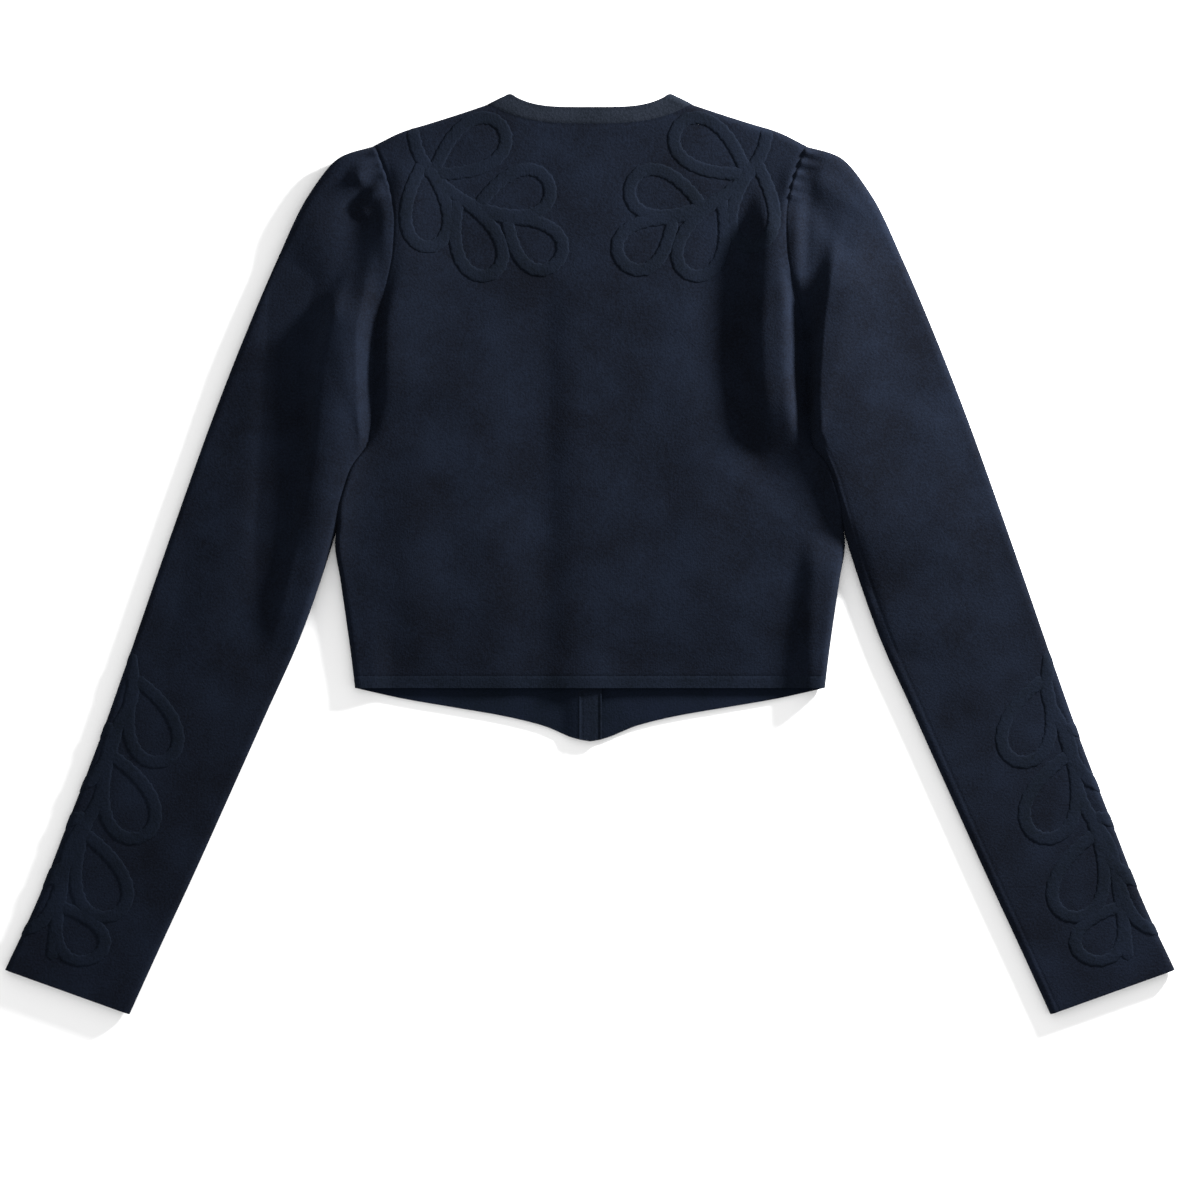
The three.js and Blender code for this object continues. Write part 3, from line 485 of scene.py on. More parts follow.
@dataclass(frozen=True)
class SleeveShape:
    """Plan and heights of a flat sleeve, from the armhole to the cuff."""

    outer_x: tuple[float, ...] = (
        (162, 187, 212, 235.5, 260.6, 284, 305.6, 326.6, 347.3, 368.5, 391.5, 415, 439.2)
    )
    outer_y: tuple[float, ...] = (306, 298, 268.5, 220, 161, 101, 41, -19, -79, -139, -199, -259, -311)
    inner_x: tuple[float, ...] = (
        (167.2, 168, 169, 170.4, 173, 178.6, 197, 218, 243.5, 270, 296.6, 322.6, 346)
    )
    inner_y: tuple[float, ...] = (
        (86, 83, 80, 77, 72.5, 61, -2, -62, -119, -178, -237, -293, -344.4)
    )
    height: tuple[float, ...] = (10, 12.5, 12, 10, 9, 8.2, 7.6, 7.1, 6.7, 6.3, 6, 5.8, 5.6)
    roll: tuple[float, ...] = (5, 7, 8, 7, 6, 5.4, 5, 5, 5, 5, 5, 5, 5)
    run: float = 771
    flat_width: float = 104
    seam_inset: float = 8
    armhole_gap: float = -1.0
    gather_count: int = 5
    gather_pitch: float = 8.4
    gather_start: float = 7
    gather_rise: float = 2.3
    gather_dip: float = 0.9
    gather_reach: float = 16
    bow_end: float = 0.3
    flank: float = 20
    left_flank: float = 17
    right_flank: float = 8

    def station(self, column: tuple[float, ...], v: Array) -> Array:
        """Read a column of the stations at a share of the way down the sleeve."""
        last = len(column) - 1
        return Curve(tuple(range(last + 1)), column)(np.asarray(v) * last)

    def plan(self, s: Array, v: Array) -> dict[str, Array]:
        """Place the sleeve's own coordinates on the table, for the right side.

        A point lies between the outer and the inner edge by its distance round the flat tube,
        turned round each edge. Near the armhole the line across bows to the seam's curve.

        Args:
            s: Round the sleeve: 0 on the outer edge, 1 on the inner one over the upper layer,
                -1 on the inner one over the lower layer.
            v: From 0 at the armhole to 1 at the cuff.

        Returns:
            x and y, the share across, the layer, the share of the height at the edges, the
            height, the distance round one layer, and the distance to the armhole seam.
        """
        s, v = np.broadcast_arrays(s, v)
        height, roll = self.station(self.height, v), self.station(self.roll, v)
        ox, oy = self.station(self.outer_x, v), self.station(self.outer_y, v)
        ix, iy = self.station(self.inner_x, v), self.station(self.inner_y, v)
        width = np.hypot(ix - ox, iy - oy)
        quarter = (roll + height / 2) * math.pi / 4
        round_it = width - 2 * roll + 2 * quarter
        from_outer = np.abs(s) * round_it
        at_outer = from_outer < round_it / 2
        arc = np.where(at_outer, from_outer, round_it - from_outer)
        inset, share, _ = rolled(arc, roll, height / 2)
        t = np.where(at_outer, inset / width, 1 - inset / width)
        ax, ay = BODY.armhole(t)
        start_x = mix(self.outer_x[0], self.inner_x[0], t)
        start_y = mix(self.outer_y[0], self.inner_y[0], t)
        bow = (1 - smooth(0, self.bow_end, v)) ** 1.5
        x = mix(ox, ix, t) + (ax - start_x) * bow + self.armhole_gap
        y = mix(oy, iy, t) + (ay - start_y) * bow
        return {
            "x": x,
            "y": y,
            "t": t,
            "upper": s > 0,
            "edge_share": share,
            "height": height,
            "round": round_it,
            "seam_y": ay,
            "from_seam": np.hypot(x - self.armhole_gap - ax, y - ay),
        }

    def gathers(self, p: dict[str, Array], s: Array) -> Array:
        """Raise the gathers: a cosine wave along the seam that dies out down the sleeve."""
        wave = (np.abs(s) * p["round"] - self.gather_start) / self.gather_pitch
        last = self.gather_count - 1
        inside = smooth(-0.6, 0, wave) * (1 - smooth(last, last + 0.6, wave))
        crest = 0.5 + 0.5 * np.cos(2 * math.pi * wave)
        height = np.where(p["upper"], self.gather_rise * crest, self.gather_dip * (crest - 1))
        reach = self.gather_reach * (1 + 0.35 * np.sin(2.1 * wave))
        fade = smooth(0, 2.5, p["from_seam"]) * (1 - np.clip((p["from_seam"] - 1) / reach, 0, 1)) ** 1.4
        return height * inside * fade

    def surface(self, side: Side, s: Array, v: Array) -> Array:
        """Raise the sleeve's outside: the lower layer lies flat, the upper one has the folds.

        From the armhole seam the upper layer climbs a flank to its own height, with a smooth
        step over a run that is longer at the outer edge than at the underarm.

        Args:
            side: Which sleeve.
            s: Round the sleeve.
            v: Down the sleeve.

        Returns:
            Points of the outside, in millimetres.
        """
        s, v = np.broadcast_arrays(s, v)
        p = self.plan(s, v)
        x = side.value * p["x"]
        half = mix(CLOTH.side_seam, p["height"] / 2, smooth(0, 0.05, v))
        middle = np.minimum(p["height"] / 2, half)
        loose = p["height"] * mix(0.8, 1, np.sin(math.pi * p["t"]))
        loose = loose + fold_height(x, p["y"]) + slack(x, p["y"])
        seam = BODY.armhole_height(x, p["seam_y"])
        inner_flank = self.right_flank if side is Side.RIGHT else self.left_flank
        flank = mix(self.flank, inner_flank, smooth(0.3, 0.8, p["t"]))
        rise = smooth(0, 1, p["from_seam"] / flank)
        high = mix(seam, np.maximum(loose, CLOTH.back_top - 1), rise)
        high = np.maximum(high, CLOTH.armhole_low) + SEAM(p["from_seam"])
        upper = middle + (high - middle) * p["edge_share"]
        z = np.where(p["upper"], upper, middle * (1 - p["edge_share"]))
        return np.stack([x, p["y"], z], axis=-1)


SLEEVE = SleeveShape()


def way_out(surface: Surface, a: Array, b: Array, flip: float) -> Array:
    """Find the way out of the cloth: across the ways that both coordinates run."""
    step = 1e-3
    along = surface(a + step, b) - surface(a - step, b)
    up = surface(a, b + step) - surface(a, b - step)
    out = np.cross(along, up) * flip
    return out / np.maximum(np.linalg.norm(out, axis=-1, keepdims=True), 1e-12)


def crowded(count: int, crowd: float = 0.5) -> Array:
    """Spread places from -1 to 1, closer near the ends: a straight line blended with a sine."""
    t = np.linspace(-1, 1, count)
    return (1 - crowd) * t + crowd * np.sin(math.pi * t / 2)


@dataclass(frozen=True)
class Leaf:
    """One leaf of a spray: a drop whose point sits on the stem."""

    base: tuple[float, float]
    turn: float
    length: float
    width: float

    def outline(self, pieces: int = 90) -> Array:
        """Draw the drop: a cosine along its length, a sine times a half-angle sine across."""
        angle = np.linspace(0, 2 * math.pi, 200)
        out = self.length * (1 - np.cos(angle)) / 2
        aside = self.width / 1.5 * np.sin(angle) * np.sin(angle / 2)
        turn = math.radians(self.turn)
        x = self.base[0] + out * math.cos(turn) - aside * math.sin(turn)
        y = self.base[1] + out * math.sin(turn) + aside * math.cos(turn)
        return evenly_spaced(np.stack([x, y], axis=1), pieces)


@dataclass(frozen=True)
class Spray:
    """A leafy spray of soft cord, in the flat coordinates of the cloth that it is sewn to."""

    stem: tuple[tuple[float, float], ...]
    leaves: tuple[Leaf, ...]
    half_width: float = 4.8
    rise: float = 0.55
    stitch_pulls: tuple[float, float] = (7.3, 4.1)
    swell: float = 0.12
    pucker: float = 0.5
    end_run: float = 6

    @cached_property
    def lines(self) -> list[Array]:
        """The stem's and the leaves' middle lines."""
        return [catmull(self.stem, 90), *(leaf.outline() for leaf in self.leaves)]

    def edge_groove(self, x: Array, y: Array) -> Array:
        """Sink the cloth along both edges of the cord, where its stitches pull."""
        gap = np.full(np.shape(x), np.inf)
        for line in self.lines:
            distance, _, _ = nearest(line[::4], x, y)
            gap = np.minimum(gap, distance)
        return CORD_EDGE(gap - self.half_width)

    def ribbons(self) -> list[tuple[Array, Array, Array, Array]]:
        """Lay each cord out flat as a grid of its length by its width.

        The half width swells and narrows along the cord with the stitches. The height across it
        is one less the ninth power of the share of the half width, with a soft hollow where
        the stitches pull, and it falls off at both ends.

        Returns:
            For each cord, the flat x and y, the height over the cloth, and the distance along.
        """
        found = []
        across = np.sin(np.linspace(-math.pi / 2, math.pi / 2, 15))[None, :]
        for k, line in enumerate(self.lines):
            run = np.concatenate(([0], np.cumsum(np.linalg.norm(np.diff(line, axis=0), axis=1))))
            way = np.gradient(line, run, axis=0)
            way /= np.linalg.norm(way, axis=1, keepdims=True)
            along = run[:, None]
            lag = 2.3 * k + 1.7 * np.sign(across)
            far, near = self.stitch_pulls
            pull = np.sin(2 * math.pi * along / far + lag)
            pull = (pull + np.sin(2 * math.pi * along / near + 2 * lag + 1.1 * pull)) / 2
            ends = np.minimum(along, run[-1] - along)
            rounded = np.sqrt(1 - (1 - np.clip(ends / self.half_width, 0.02, 1)) ** 2)
            half = self.half_width * (1 + self.swell * pull) * rounded
            x = line[:, :1] - way[:, 1:] * across * half
            y = line[:, 1:] + way[:, :1] * across * half
            body = 1 - np.abs(across) ** 9
            puckered = 1 - self.pucker * (0.5 + 0.5 * pull) * (0.35 + 0.65 * np.abs(across))
            height = self.rise * body * puckered * (0.45 + 0.55 * smooth(0, self.end_run, ends))
            found.append((x, y, height, np.broadcast_to(along, height.shape)))
        return found


SHOULDER_SPRAY = Spray(
    stem=((133, 319), (129, 302), (116, 282), (95, 265), (70, 254), (46, 250)),
    leaves=(
        Leaf((117, 285), 146, 62, 34),
        Leaf((84, 260), 163, 56, 33),
        Leaf((124, 294), -93, 64, 31),
        Leaf((98, 267), -112, 62, 32),
        Leaf((62, 252), -138, 50, 32),
    ),
)
SLEEVE_SPRAY = Spray(
    stem=((2, 264), (14, 232), (10, 194), (17, 152), (10, 110), (18, 66), (30, 22)),
    leaves=(
        Leaf((12, 246), -52, 64, 35),
        Leaf((12, 186), -48, 66, 36),
        Leaf((15, 124), -50, 66, 36),
        Leaf((18, 66), -38, 50, 33),
        Leaf((11, 206), -118, 58, 31),
        Leaf((14, 136), -118, 58, 31),
        Leaf((12, 88), -116, 56, 31),
    ),
)


# Meshes


@dataclass(frozen=True)
class Shell:
    """A closed wall of cloth between an outer and an inner grid of points, in millimetres."""

    name: str
    outer: Array
    inner: Array
    flat: Array
    wrapped: bool = False
    mirrored: bool = False

    def build(self) -> bpy.types.Object:
        """Make the mesh: both skins, a rim along each open edge, and the flat cut as its UV map.

        Returns:
            The object, at the origin, with smooth faces.
        """
        n, m = self.outer.shape[:2]
        steps = n if self.wrapped else n - 1
        i, j = (g.ravel() for g in np.meshgrid(np.arange(steps), np.arange(m - 1), indexing="ij"))
        quad_i, quad_j = np.stack([i, i + 1, i + 1, i], 1), np.stack([j, j, j + 1, j + 1], 1)
        parts = [(quad_i, quad_j, np.zeros_like(quad_i)), (quad_i[:, ::-1], quad_j[:, ::-1], 1)]
        layers = np.array([0, 0, 1, 1])
        run = np.arange(steps)
        for row, order in ((0, (1, 0, 0, 1)), (m - 1, (0, 1, 1, 0))):
            corner_i = run[:, None] + np.array(order)
            parts.append((corner_i, np.full_like(corner_i, row), layers))
        if not self.wrapped:
            run = np.arange(m - 1)
            for column, order in ((0, (0, 1, 1, 0)), (n - 1, (1, 0, 0, 1))):
                corner_j = run[:, None] + np.array(order)
                parts.append((np.full_like(corner_j, column), corner_j, layers))
        faces, uv = [], []
        for corner_i, corner_j, layer in parts:
            faces.append(np.broadcast_to(layer, corner_i.shape) * n * m + corner_i % n * m + corner_j)
            uv.append(self.flat[corner_i, corner_j])
        all_faces, all_uv = np.concatenate(faces), np.concatenate(uv)
        if self.mirrored:
            all_faces, all_uv = all_faces[:, ::-1], all_uv[:, ::-1]
        points = np.concatenate([self.outer.reshape(-1, 3), self.inner.reshape(-1, 3)])
        points = (points + (0, CLOTH.shift_y, 0)) * MM
        mesh = bpy.data.meshes.new(self.name)
        mesh.from_pydata(points, [], all_faces)
        layer = mesh.uv_layers.new(name="cut")
        layer.uv.foreach_set("vector", (all_uv * MM).astype(np.float32).ravel())
        mesh.shade_smooth()
        mesh.set_sharp_from_angle(angle=math.radians(55))
        mesh.validate()
        made = bpy.data.objects.new(self.name, mesh)
        bpy.context.collection.objects.link(made)
        return made

    @property
    def area(self) -> float:
        """The cloth's own area in square metres, summed over the outer grid's cells."""
        grid = np.concatenate([self.outer, self.outer[:1]]) if self.wrapped else self.outer
        across, up = np.diff(grid, axis=0)[:, :-1], np.diff(grid, axis=1)[:-1]
        return float(np.linalg.norm(np.cross(across, up), axis=-1).sum()) * MM * MM


def offset(points: Array, out: Array, distance: Array | float) -> Array:
    """Move points along their way out by a distance."""
    return points + out * np.asarray(distance)[..., None]


# Materials


def linear(colour: str) -> tuple[float, float, float, float]:
    """Turn an sRGB hex colour to linear: a power of 2.4 above the short straight toe."""
    parts = [int(colour[k : k + 2], 16) / 255 for k in (1, 3, 5)]
    red, green, blue = (c / 12.92 if c <= 0.04045 else ((c + 0.055) / 1.055) ** 2.4 for c in parts)
    return red, green, blue, 1.0


def add(
    tree: bpy.types.NodeTree,
    kind: str,
    settings: dict[str, object] | None = None,
    inputs: dict[str | int, object] | None = None,
) -> bpy.types.Node:
    """Add a node with its settings, and set or link its inputs.

    Args:
        tree: The tree that gets it.
        kind: Blender's name of the node.
        settings: Properties of the node.
        inputs: A value for each socket, or the socket that it is linked from.

    Returns:
        The node.
    """
    node = tree.nodes.new(kind)
    for name, value in (settings or {}).items():
        setattr(node, name, value)
    for name, value in (inputs or {}).items():
        if isinstance(value, bpy.types.NodeSocket):
            tree.links.new(value, node.inputs[name])
        else:
            node.inputs[name].default_value = value
    return node


@dataclass(frozen=True)
class KnitFinish:
    """Dense double knit of a fine viscose and wool yarn: matte, with a faint halo of fibre.

    Sizes are in millimetres. Single fibres are too fine to show, so their clumps are drawn
    coarser than real.
    """

    name: str
    shade: str = "#080a10"
    light: str = "#0f141e"
    halo: str = "#8894ad"
    roughness: float = 0.92
    specular: float = 0.023
    sheen: float = 0.023
    sheen_roughness: float = 0.55
    wale_width: float = 1.2
    wale_depth: float = 0.4
    wale_share: float = 0.03
    clump_size: float = 1.613
    clump_depth: float = 0.5
    clump_share: float = 0.6
    tone_size: float = 45.45
    tone_range: tuple[float, float] = (0.38, 0.62)

    def material(self) -> bpy.types.Material:
        """Build the material on the cut's own map, so that the wales follow each piece.

        Returns:
            The material: mottled navy, with fine wales and fuzz as bump.
        """
        made = bpy.data.materials.new(self.name)
        made.use_nodes = True
        tree = made.node_tree
        tree.nodes.clear()
        cut = add(tree, "ShaderNodeUVMap", {"uv_map": "cut"}).outputs["UV"]
        place = add(tree, "ShaderNodeTexCoord").outputs["Object"]
        axes = add(tree, "ShaderNodeSeparateXYZ", inputs={0: cut}).outputs
        # The wales stand as fine ribs along the piece: a sine across the cut.
        angle = add(
            tree,
            "ShaderNodeMath",
            {"operation": "MULTIPLY"},
            {0: axes["X"], 1: 2 * math.pi / (self.wale_width * MM)},
        )
        loops = add(tree, "ShaderNodeMath", {"operation": "SINE"}, {0: angle.outputs[0]})
        fuzz = add(
            tree,
            "ShaderNodeTexNoise",
            inputs={
                "Vector": place,
                "Scale": 1 / (self.clump_size * MM),
                "Detail": 3.0,
                "Roughness": 0.65,
            },
        )
        mottle = add(
            tree,
            "ShaderNodeTexNoise",
            inputs={
                "Vector": place,
                "Scale": 1 / (self.tone_size * MM),
                "Detail": 4.0,
                "Roughness": 0.6,
            },
        )
        # The worn, washed tone: half of it in patches, half in the clumps of fibre.
        speckle = add(
            tree,
            "ShaderNodeMix",
            {"data_type": "FLOAT"},
            {0: 0.5, 2: mottle.outputs[0], 3: fuzz.outputs[0]},
        )
        low, high = self.tone_range
        spread = add(
            tree,
            "ShaderNodeMapRange",
            inputs={0: speckle.outputs[0], 1: low, 2: high, 3: 0.0, 4: 1.0},
        )
        colour = add(
            tree,
            "ShaderNodeMix",
            {"data_type": "RGBA"},
            {0: spread.outputs[0], 6: linear(self.shade), 7: linear(self.light)},
        )
        stitches = add(
            tree,
            "ShaderNodeBump",
            inputs={
                "Strength": self.wale_share,
                "Distance": self.wale_depth * MM,
                "Height": loops.outputs[0],
            },
        )
        fibres = add(
            tree,
            "ShaderNodeBump",
            inputs={
                "Strength": self.clump_share,
                "Distance": self.clump_depth * MM,
                "Height": fuzz.outputs[0],
                "Normal": stitches.outputs[0],
            },
        )
        shader = add(
            tree,
            "ShaderNodeBsdfPrincipled",
            inputs={
                "Base Color": colour.outputs[2],
                "Roughness": self.roughness,
                "Specular IOR Level": self.specular,
                "Sheen Weight": self.sheen,
                "Sheen Roughness": self.sheen_roughness,
                "Sheen Tint": linear(self.halo),
                "Normal": fibres.outputs[0],
            },
        )
        add(tree, "ShaderNodeOutputMaterial", inputs={"Surface": shader.outputs[0]})
        return made


@dataclass(frozen=True)
class TableFinish:
    """Matt white table paper, which gives a clean pale ground."""

    name: str = "matt_white_paper"
    colour: str = "#f6f6f6"

    def material(self) -> bpy.types.Material:
        """Build the plain paper."""
        made = bpy.data.materials.new(self.name)
        made.use_nodes = True
        shader = made.node_tree.nodes["Principled BSDF"]
        shader.inputs["Base Color"].default_value = linear(self.colour)
        shader.inputs["Roughness"].default_value = 0.95
        return made


# The cloth of the body and sleeves: a deep matte navy that drinks the light, cloudy from wear.
BODY_KNIT = KnitFinish("dense_double_knit_navy")
# Knit folded double and pressed, which looks a little smoother and lighter.
BAND_KNIT = KnitFinish("folded_knit_band_navy", "#080c12", "#10151f")
# The same fold round the neck, painted lighter and greyer: a painted highlight for the light that its
# raised band catches.
NECK_KNIT_PAINTED_HIGHLIGHT = KnitFinish("neckband_navy_painted_highlight", "#10141a", "#1b1f27")
# The back of the knit, flatter in tone than its face.
INSIDE_KNIT = KnitFinish("inside_of_knit_navy", "#080d14", "#0d121d")
# Cord knitted as a tube in the same yarn, so that only its edges set it off from the cloth.
CORD_KNIT = KnitFinish("soft_tubular_cord_navy", "#090d13", "#0f141e")


@dataclass
class Wardrobe:
    """Dresses pieces: a material, the body that they ride on, and the node that they stand for."""

    made: dict[str, bpy.types.Material] = field(default_factory=dict)

    def dress(self, piece: bpy.types.Object, finish: KnitFinish, node: str | None) -> None:
        """Give a piece its finish, and tie it to the CAD part.

        Args:
            piece: The piece.
            finish: Its finish.
            node: The CAD node that it replaces, if any.
        """
        if finish.name not in self.made:
            self.made[finish.name] = finish.material()
        piece.data.materials.append(self.made[finish.name])
        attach(piece, "root")
        if node:
            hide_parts(node)
        LOG.info("%s: %d faces", piece.name, len(piece.data.polygons))


# Pieces


@dataclass
class CordSpray:
    """The cord of one spray, sewn to a surface."""

    name: str
    spray: Spray
    side: Side
    to_surface: Callable[[Array, Array], tuple[Array, Array]]
    surface: Surface
    flip: float
    stagger: float = 0.12
    sunk: float = 0.5
    lowest: float = -0.35

    def build(self, wardrobe: Wardrobe) -> bpy.types.Object:
        """Lay every ribbon on the cloth, close it underneath, and join them into one piece.

        Args:
            wardrobe: Dresses the piece.

        Returns:
            The joined cords.
        """
        shells = []
        for k, (x, y, height, along) in enumerate(self.spray.ribbons()):
            a, b = self.to_surface(x, y)
            points, out = self.surface(a, b), way_out(self.surface, a, b, self.flip)
            lift = self.stagger * k / len(self.spray.lines)
            top = offset(points, out, height + lift)
            under = offset(points, out, np.full(height.shape, -self.sunk))
            top[..., 2] = np.maximum(top[..., 2], self.lowest)
            flat = np.stack([x, along], axis=-1)
            mirrored = self.side is Side.LEFT
            shells.append(Shell(f"{self.name}_{k}", top, under, flat, mirrored=mirrored).build())
        with bpy.context.temp_override(active_object=shells[0], selected_editable_objects=shells):
            bpy.ops.object.join()
        made = shells[0]
        made.name = self.name
        wardrobe.dress(made, CORD_KNIT, None)
        return made


@dataclass
class Body:
    """The back with its hem band, and the two fronts."""

    columns: int = 200
    rows: int = 215
    front_columns: int = 70
    front_rows: int = 130
    band_rows: int = 8
    hem_fade: float = 12
    seam_reach: float = 7
    sunk_below: float = 20
    sunk_above: float = 14
    shoulder_end: float = 6
    band_gap: float = 0.2

    def back_surface(self, u: Array, v: Array) -> Array:
        """Raise the back: a flat top with the folds, turned down at sides, shoulders and armholes."""
        p = BODY.plan(u, v, Panel.BACK)
        fade = smooth(0, self.hem_fade, BODY.length * (1 - np.asarray(v)))
        loose = BODY.rest_height(p["x"], p["y"])
        loose = loose + (fold_height(p["x"], p["y"]) + slack(p["x"], p["y"])) * fade
        low, high = BODY.underarm_y - self.sunk_below, BODY.underarm_y + self.sunk_above
        top = smooth(BODY.shoulder_y - self.shoulder_end, BODY.shoulder_y, p["side_y"])
        sunk = smooth(low, high, p["side_y"]) * (1 - top)
        share = bell(p["to_armhole"], self.seam_reach) * sunk
        height = mix(loose, BODY.armhole_height(p["x"], p["side_y"]), share)
        height = np.maximum(height, CLOTH.side_seam + CLOTH.seam_gap)
        seam = SEAM(p["to_armhole"]) * smooth(low + self.sunk_above, high, p["side_y"])
        height = height + seam
        z = CLOTH.side_seam + (height - CLOTH.side_seam) * p["side_share"] * p["shoulder_share"]
        return np.stack([p["x"], p["y"], z], axis=-1)

    def back_coordinates(self, x: Array, y: Array) -> tuple[Array, Array]:
        """Find the back's own coordinates of places on the table, by stepping towards each."""
        u, v = x / BODY.shoulder_x, (y - BODY.hem_y) / BODY.length
        for _ in range(14):
            p = BODY.plan(u, v, Panel.BACK)
            u, v = u + (x - p["x"]) / BODY.shoulder_x, v + (y - p["y"]) / (BODY.length * 1.2)
            v = np.minimum(v, 1)
        return u, v

    def dressed_back(self, u: Array, v: Array) -> Array:
        """Press the hem's, the neck's and the cords' lines into the back."""
        points = self.back_surface(u, v)
        x, y = np.abs(points[..., 0]), points[..., 1]
        v = np.broadcast_to(v, x.shape)
        line = FINE_SEAM(v * BODY.length - BODY.hem_band)
        to_neck = BODY.top(x, Panel.BACK) - y
        line = line + FINE_SEAM(to_neck) * (x < BODY.neck_seam_x)
        points[..., 2] += line + SHOULDER_SPRAY.edge_groove(x, y)
        return points

    def panel(
        self, name: str, surface: Surface, dressed: Surface, u: Array, v: Array, up: float
    ) -> Shell:
        """Make a wall of cloth from one of its surfaces.

        Args:
            name: The piece's name.
            surface: The plain surface, which gives the way out.
            dressed: The same with its seams and grooves.
            u: Places across.
            v: Places up.
            up: 0 where the surface is the wall's top, 1 where it is its underside.

        Returns:
            The wall.
        """
        grid_u, grid_v = np.meshgrid(u, v, indexing="ij")
        out = way_out(surface, grid_u, grid_v, 1)
        base, face = surface(grid_u, grid_v), dressed(grid_u, grid_v)
        outer = offset(face, out, np.full(grid_u.shape, up * CLOTH.thickness))
        inner = offset(base, out, np.full(grid_u.shape, (up - 1) * CLOTH.thickness))
        flat = np.stack([grid_u * BODY.shoulder_x, grid_v * BODY.length], axis=-1)
        return Shell(name, outer, inner, flat)

    def front_surface(self, u: Array, v: Array) -> Array:
        """Lay a front on the table: it turns up at the side and shoulder and beside its band."""
        p = BODY.plan(u, v, Panel.FRONT)
        lift = CLOTH.side_seam - CLOTH.seam_gap
        z = lift * (1 - p["side_share"] * p["shoulder_share"]) + BODY.front_step(p["x"])
        return np.stack([p["x"], p["y"], z], axis=-1)

    def build(self, wardrobe: Wardrobe) -> None:
        """Args:
            wardrobe: Dresses the pieces.
        """
        u = crowded(self.columns)
        band = BODY.hem_band / BODY.length
        up = mix(band, 1, (crowded(self.rows, 0.35) + 1) / 2)
        walls = {
            "back": self.panel("back_panel", self.back_surface, self.dressed_back, u, up, 0),
            "hem_band": self.panel(
                "hem_band_piece",
                self.back_surface,
                self.dressed_back,
                u,
                np.linspace(0, band, self.band_rows),
                0,
            ),
        }
        first = (BODY.placket / 2 - self.band_gap) / BODY.shoulder_x
        for side in Side:
            name = f"front_{side.word}"
            half = mix(first, 1, np.sin(np.linspace(0, math.pi / 2, self.front_columns)))
            across = half if side is Side.RIGHT else -half[::-1]
            straight = self.straight_edge(side, first)
            rows = (crowded(self.front_rows, 0.3) + 1) / 2
            walls[name] = self.panel(f"{name}_panel", self.front_surface, straight, across, rows, 1)
        pieces = {name: wall.build() for name, wall in walls.items()}
        wardrobe.dress(pieces["back"], BODY_KNIT, "back")
        wardrobe.dress(pieces["hem_band"], BAND_KNIT, "hem_band")
        for side in Side:
            name = f"front_{side.word}"
            wardrobe.dress(pieces[name], INSIDE_KNIT, name)
            walls[name].area
        cords = [self.shoulder_cords(side, wardrobe) for side in Side]
        walls["back"].area
        area = walls["hem_band"].area

    def straight_edge(self, side: Side, first: float) -> Surface:
        """Keep a front's middle edge straight beside its band."""

        def surface(u: Array, v: Array) -> Array:
            """Set the innermost column on the band's seam."""
            points = self.front_surface(u, v)
            edge = np.abs(u) <= first + 1e-6
            seam_x = side.value * (BODY.placket / 2 - self.band_gap)
            points[..., 0] = np.where(edge, seam_x, points[..., 0])
            return points

        return surface

    def shoulder_cords(self, side: Side, wardrobe: Wardrobe) -> bpy.types.Object:
        """Sew one shoulder's spray to the back."""

        def place(x: Array, y: Array) -> tuple[Array, Array]:
            """Turn the spray's flat places to the back's coordinates on this side."""
            u, v = self.back_coordinates(x, y)
            return side.value * u, v

        name = f"shoulder_cord_{side.word}"
        return CordSpray(name, SHOULDER_SPRAY, side, place, self.back_surface, 1).build(wardrobe)


@dataclass
class FrontBand:
    """A straight front band, from the front point to the neck opening."""

    side: Side
    low: float
    columns: int = 21
    rows: int = 120
    bead: Groove = Groove(depth=-0.35, reach=0.7)
    bead_inset: float = 0.9
    seam_inset: float = 2.4

    def build(self, wardrobe: Wardrobe) -> None:
        u = np.sin(np.linspace(-math.pi / 2, math.pi / 2, self.columns))
        v = np.linspace(0, 1, self.rows)
        grid_u, grid_v = np.meshgrid(u, v, indexing="ij")
        x = grid_u * BODY.placket / 2
        bottom = BODY.hem_y - BODY.front_point * BODY.front_hem(np.abs(x))
        y = mix(bottom, BODY.front_neck_y + BODY.neck_band, grid_v)
        to_edge = BODY.placket / 2 - np.abs(x)
        bead = self.bead(to_edge - self.bead_inset) + FINE_SEAM(to_edge - self.seam_inset)
        top = np.stack([x, y, self.low + CLOTH.thickness + bead], axis=-1)
        under = np.stack([x, y, np.full_like(x, self.low)], axis=-1)
        flat = np.stack([x, y], axis=-1)
        node = f"placket_{self.side.word}"
        piece = Shell(f"{node}_band", top, under, flat).build()
        wardrobe.dress(piece, BAND_KNIT, node)


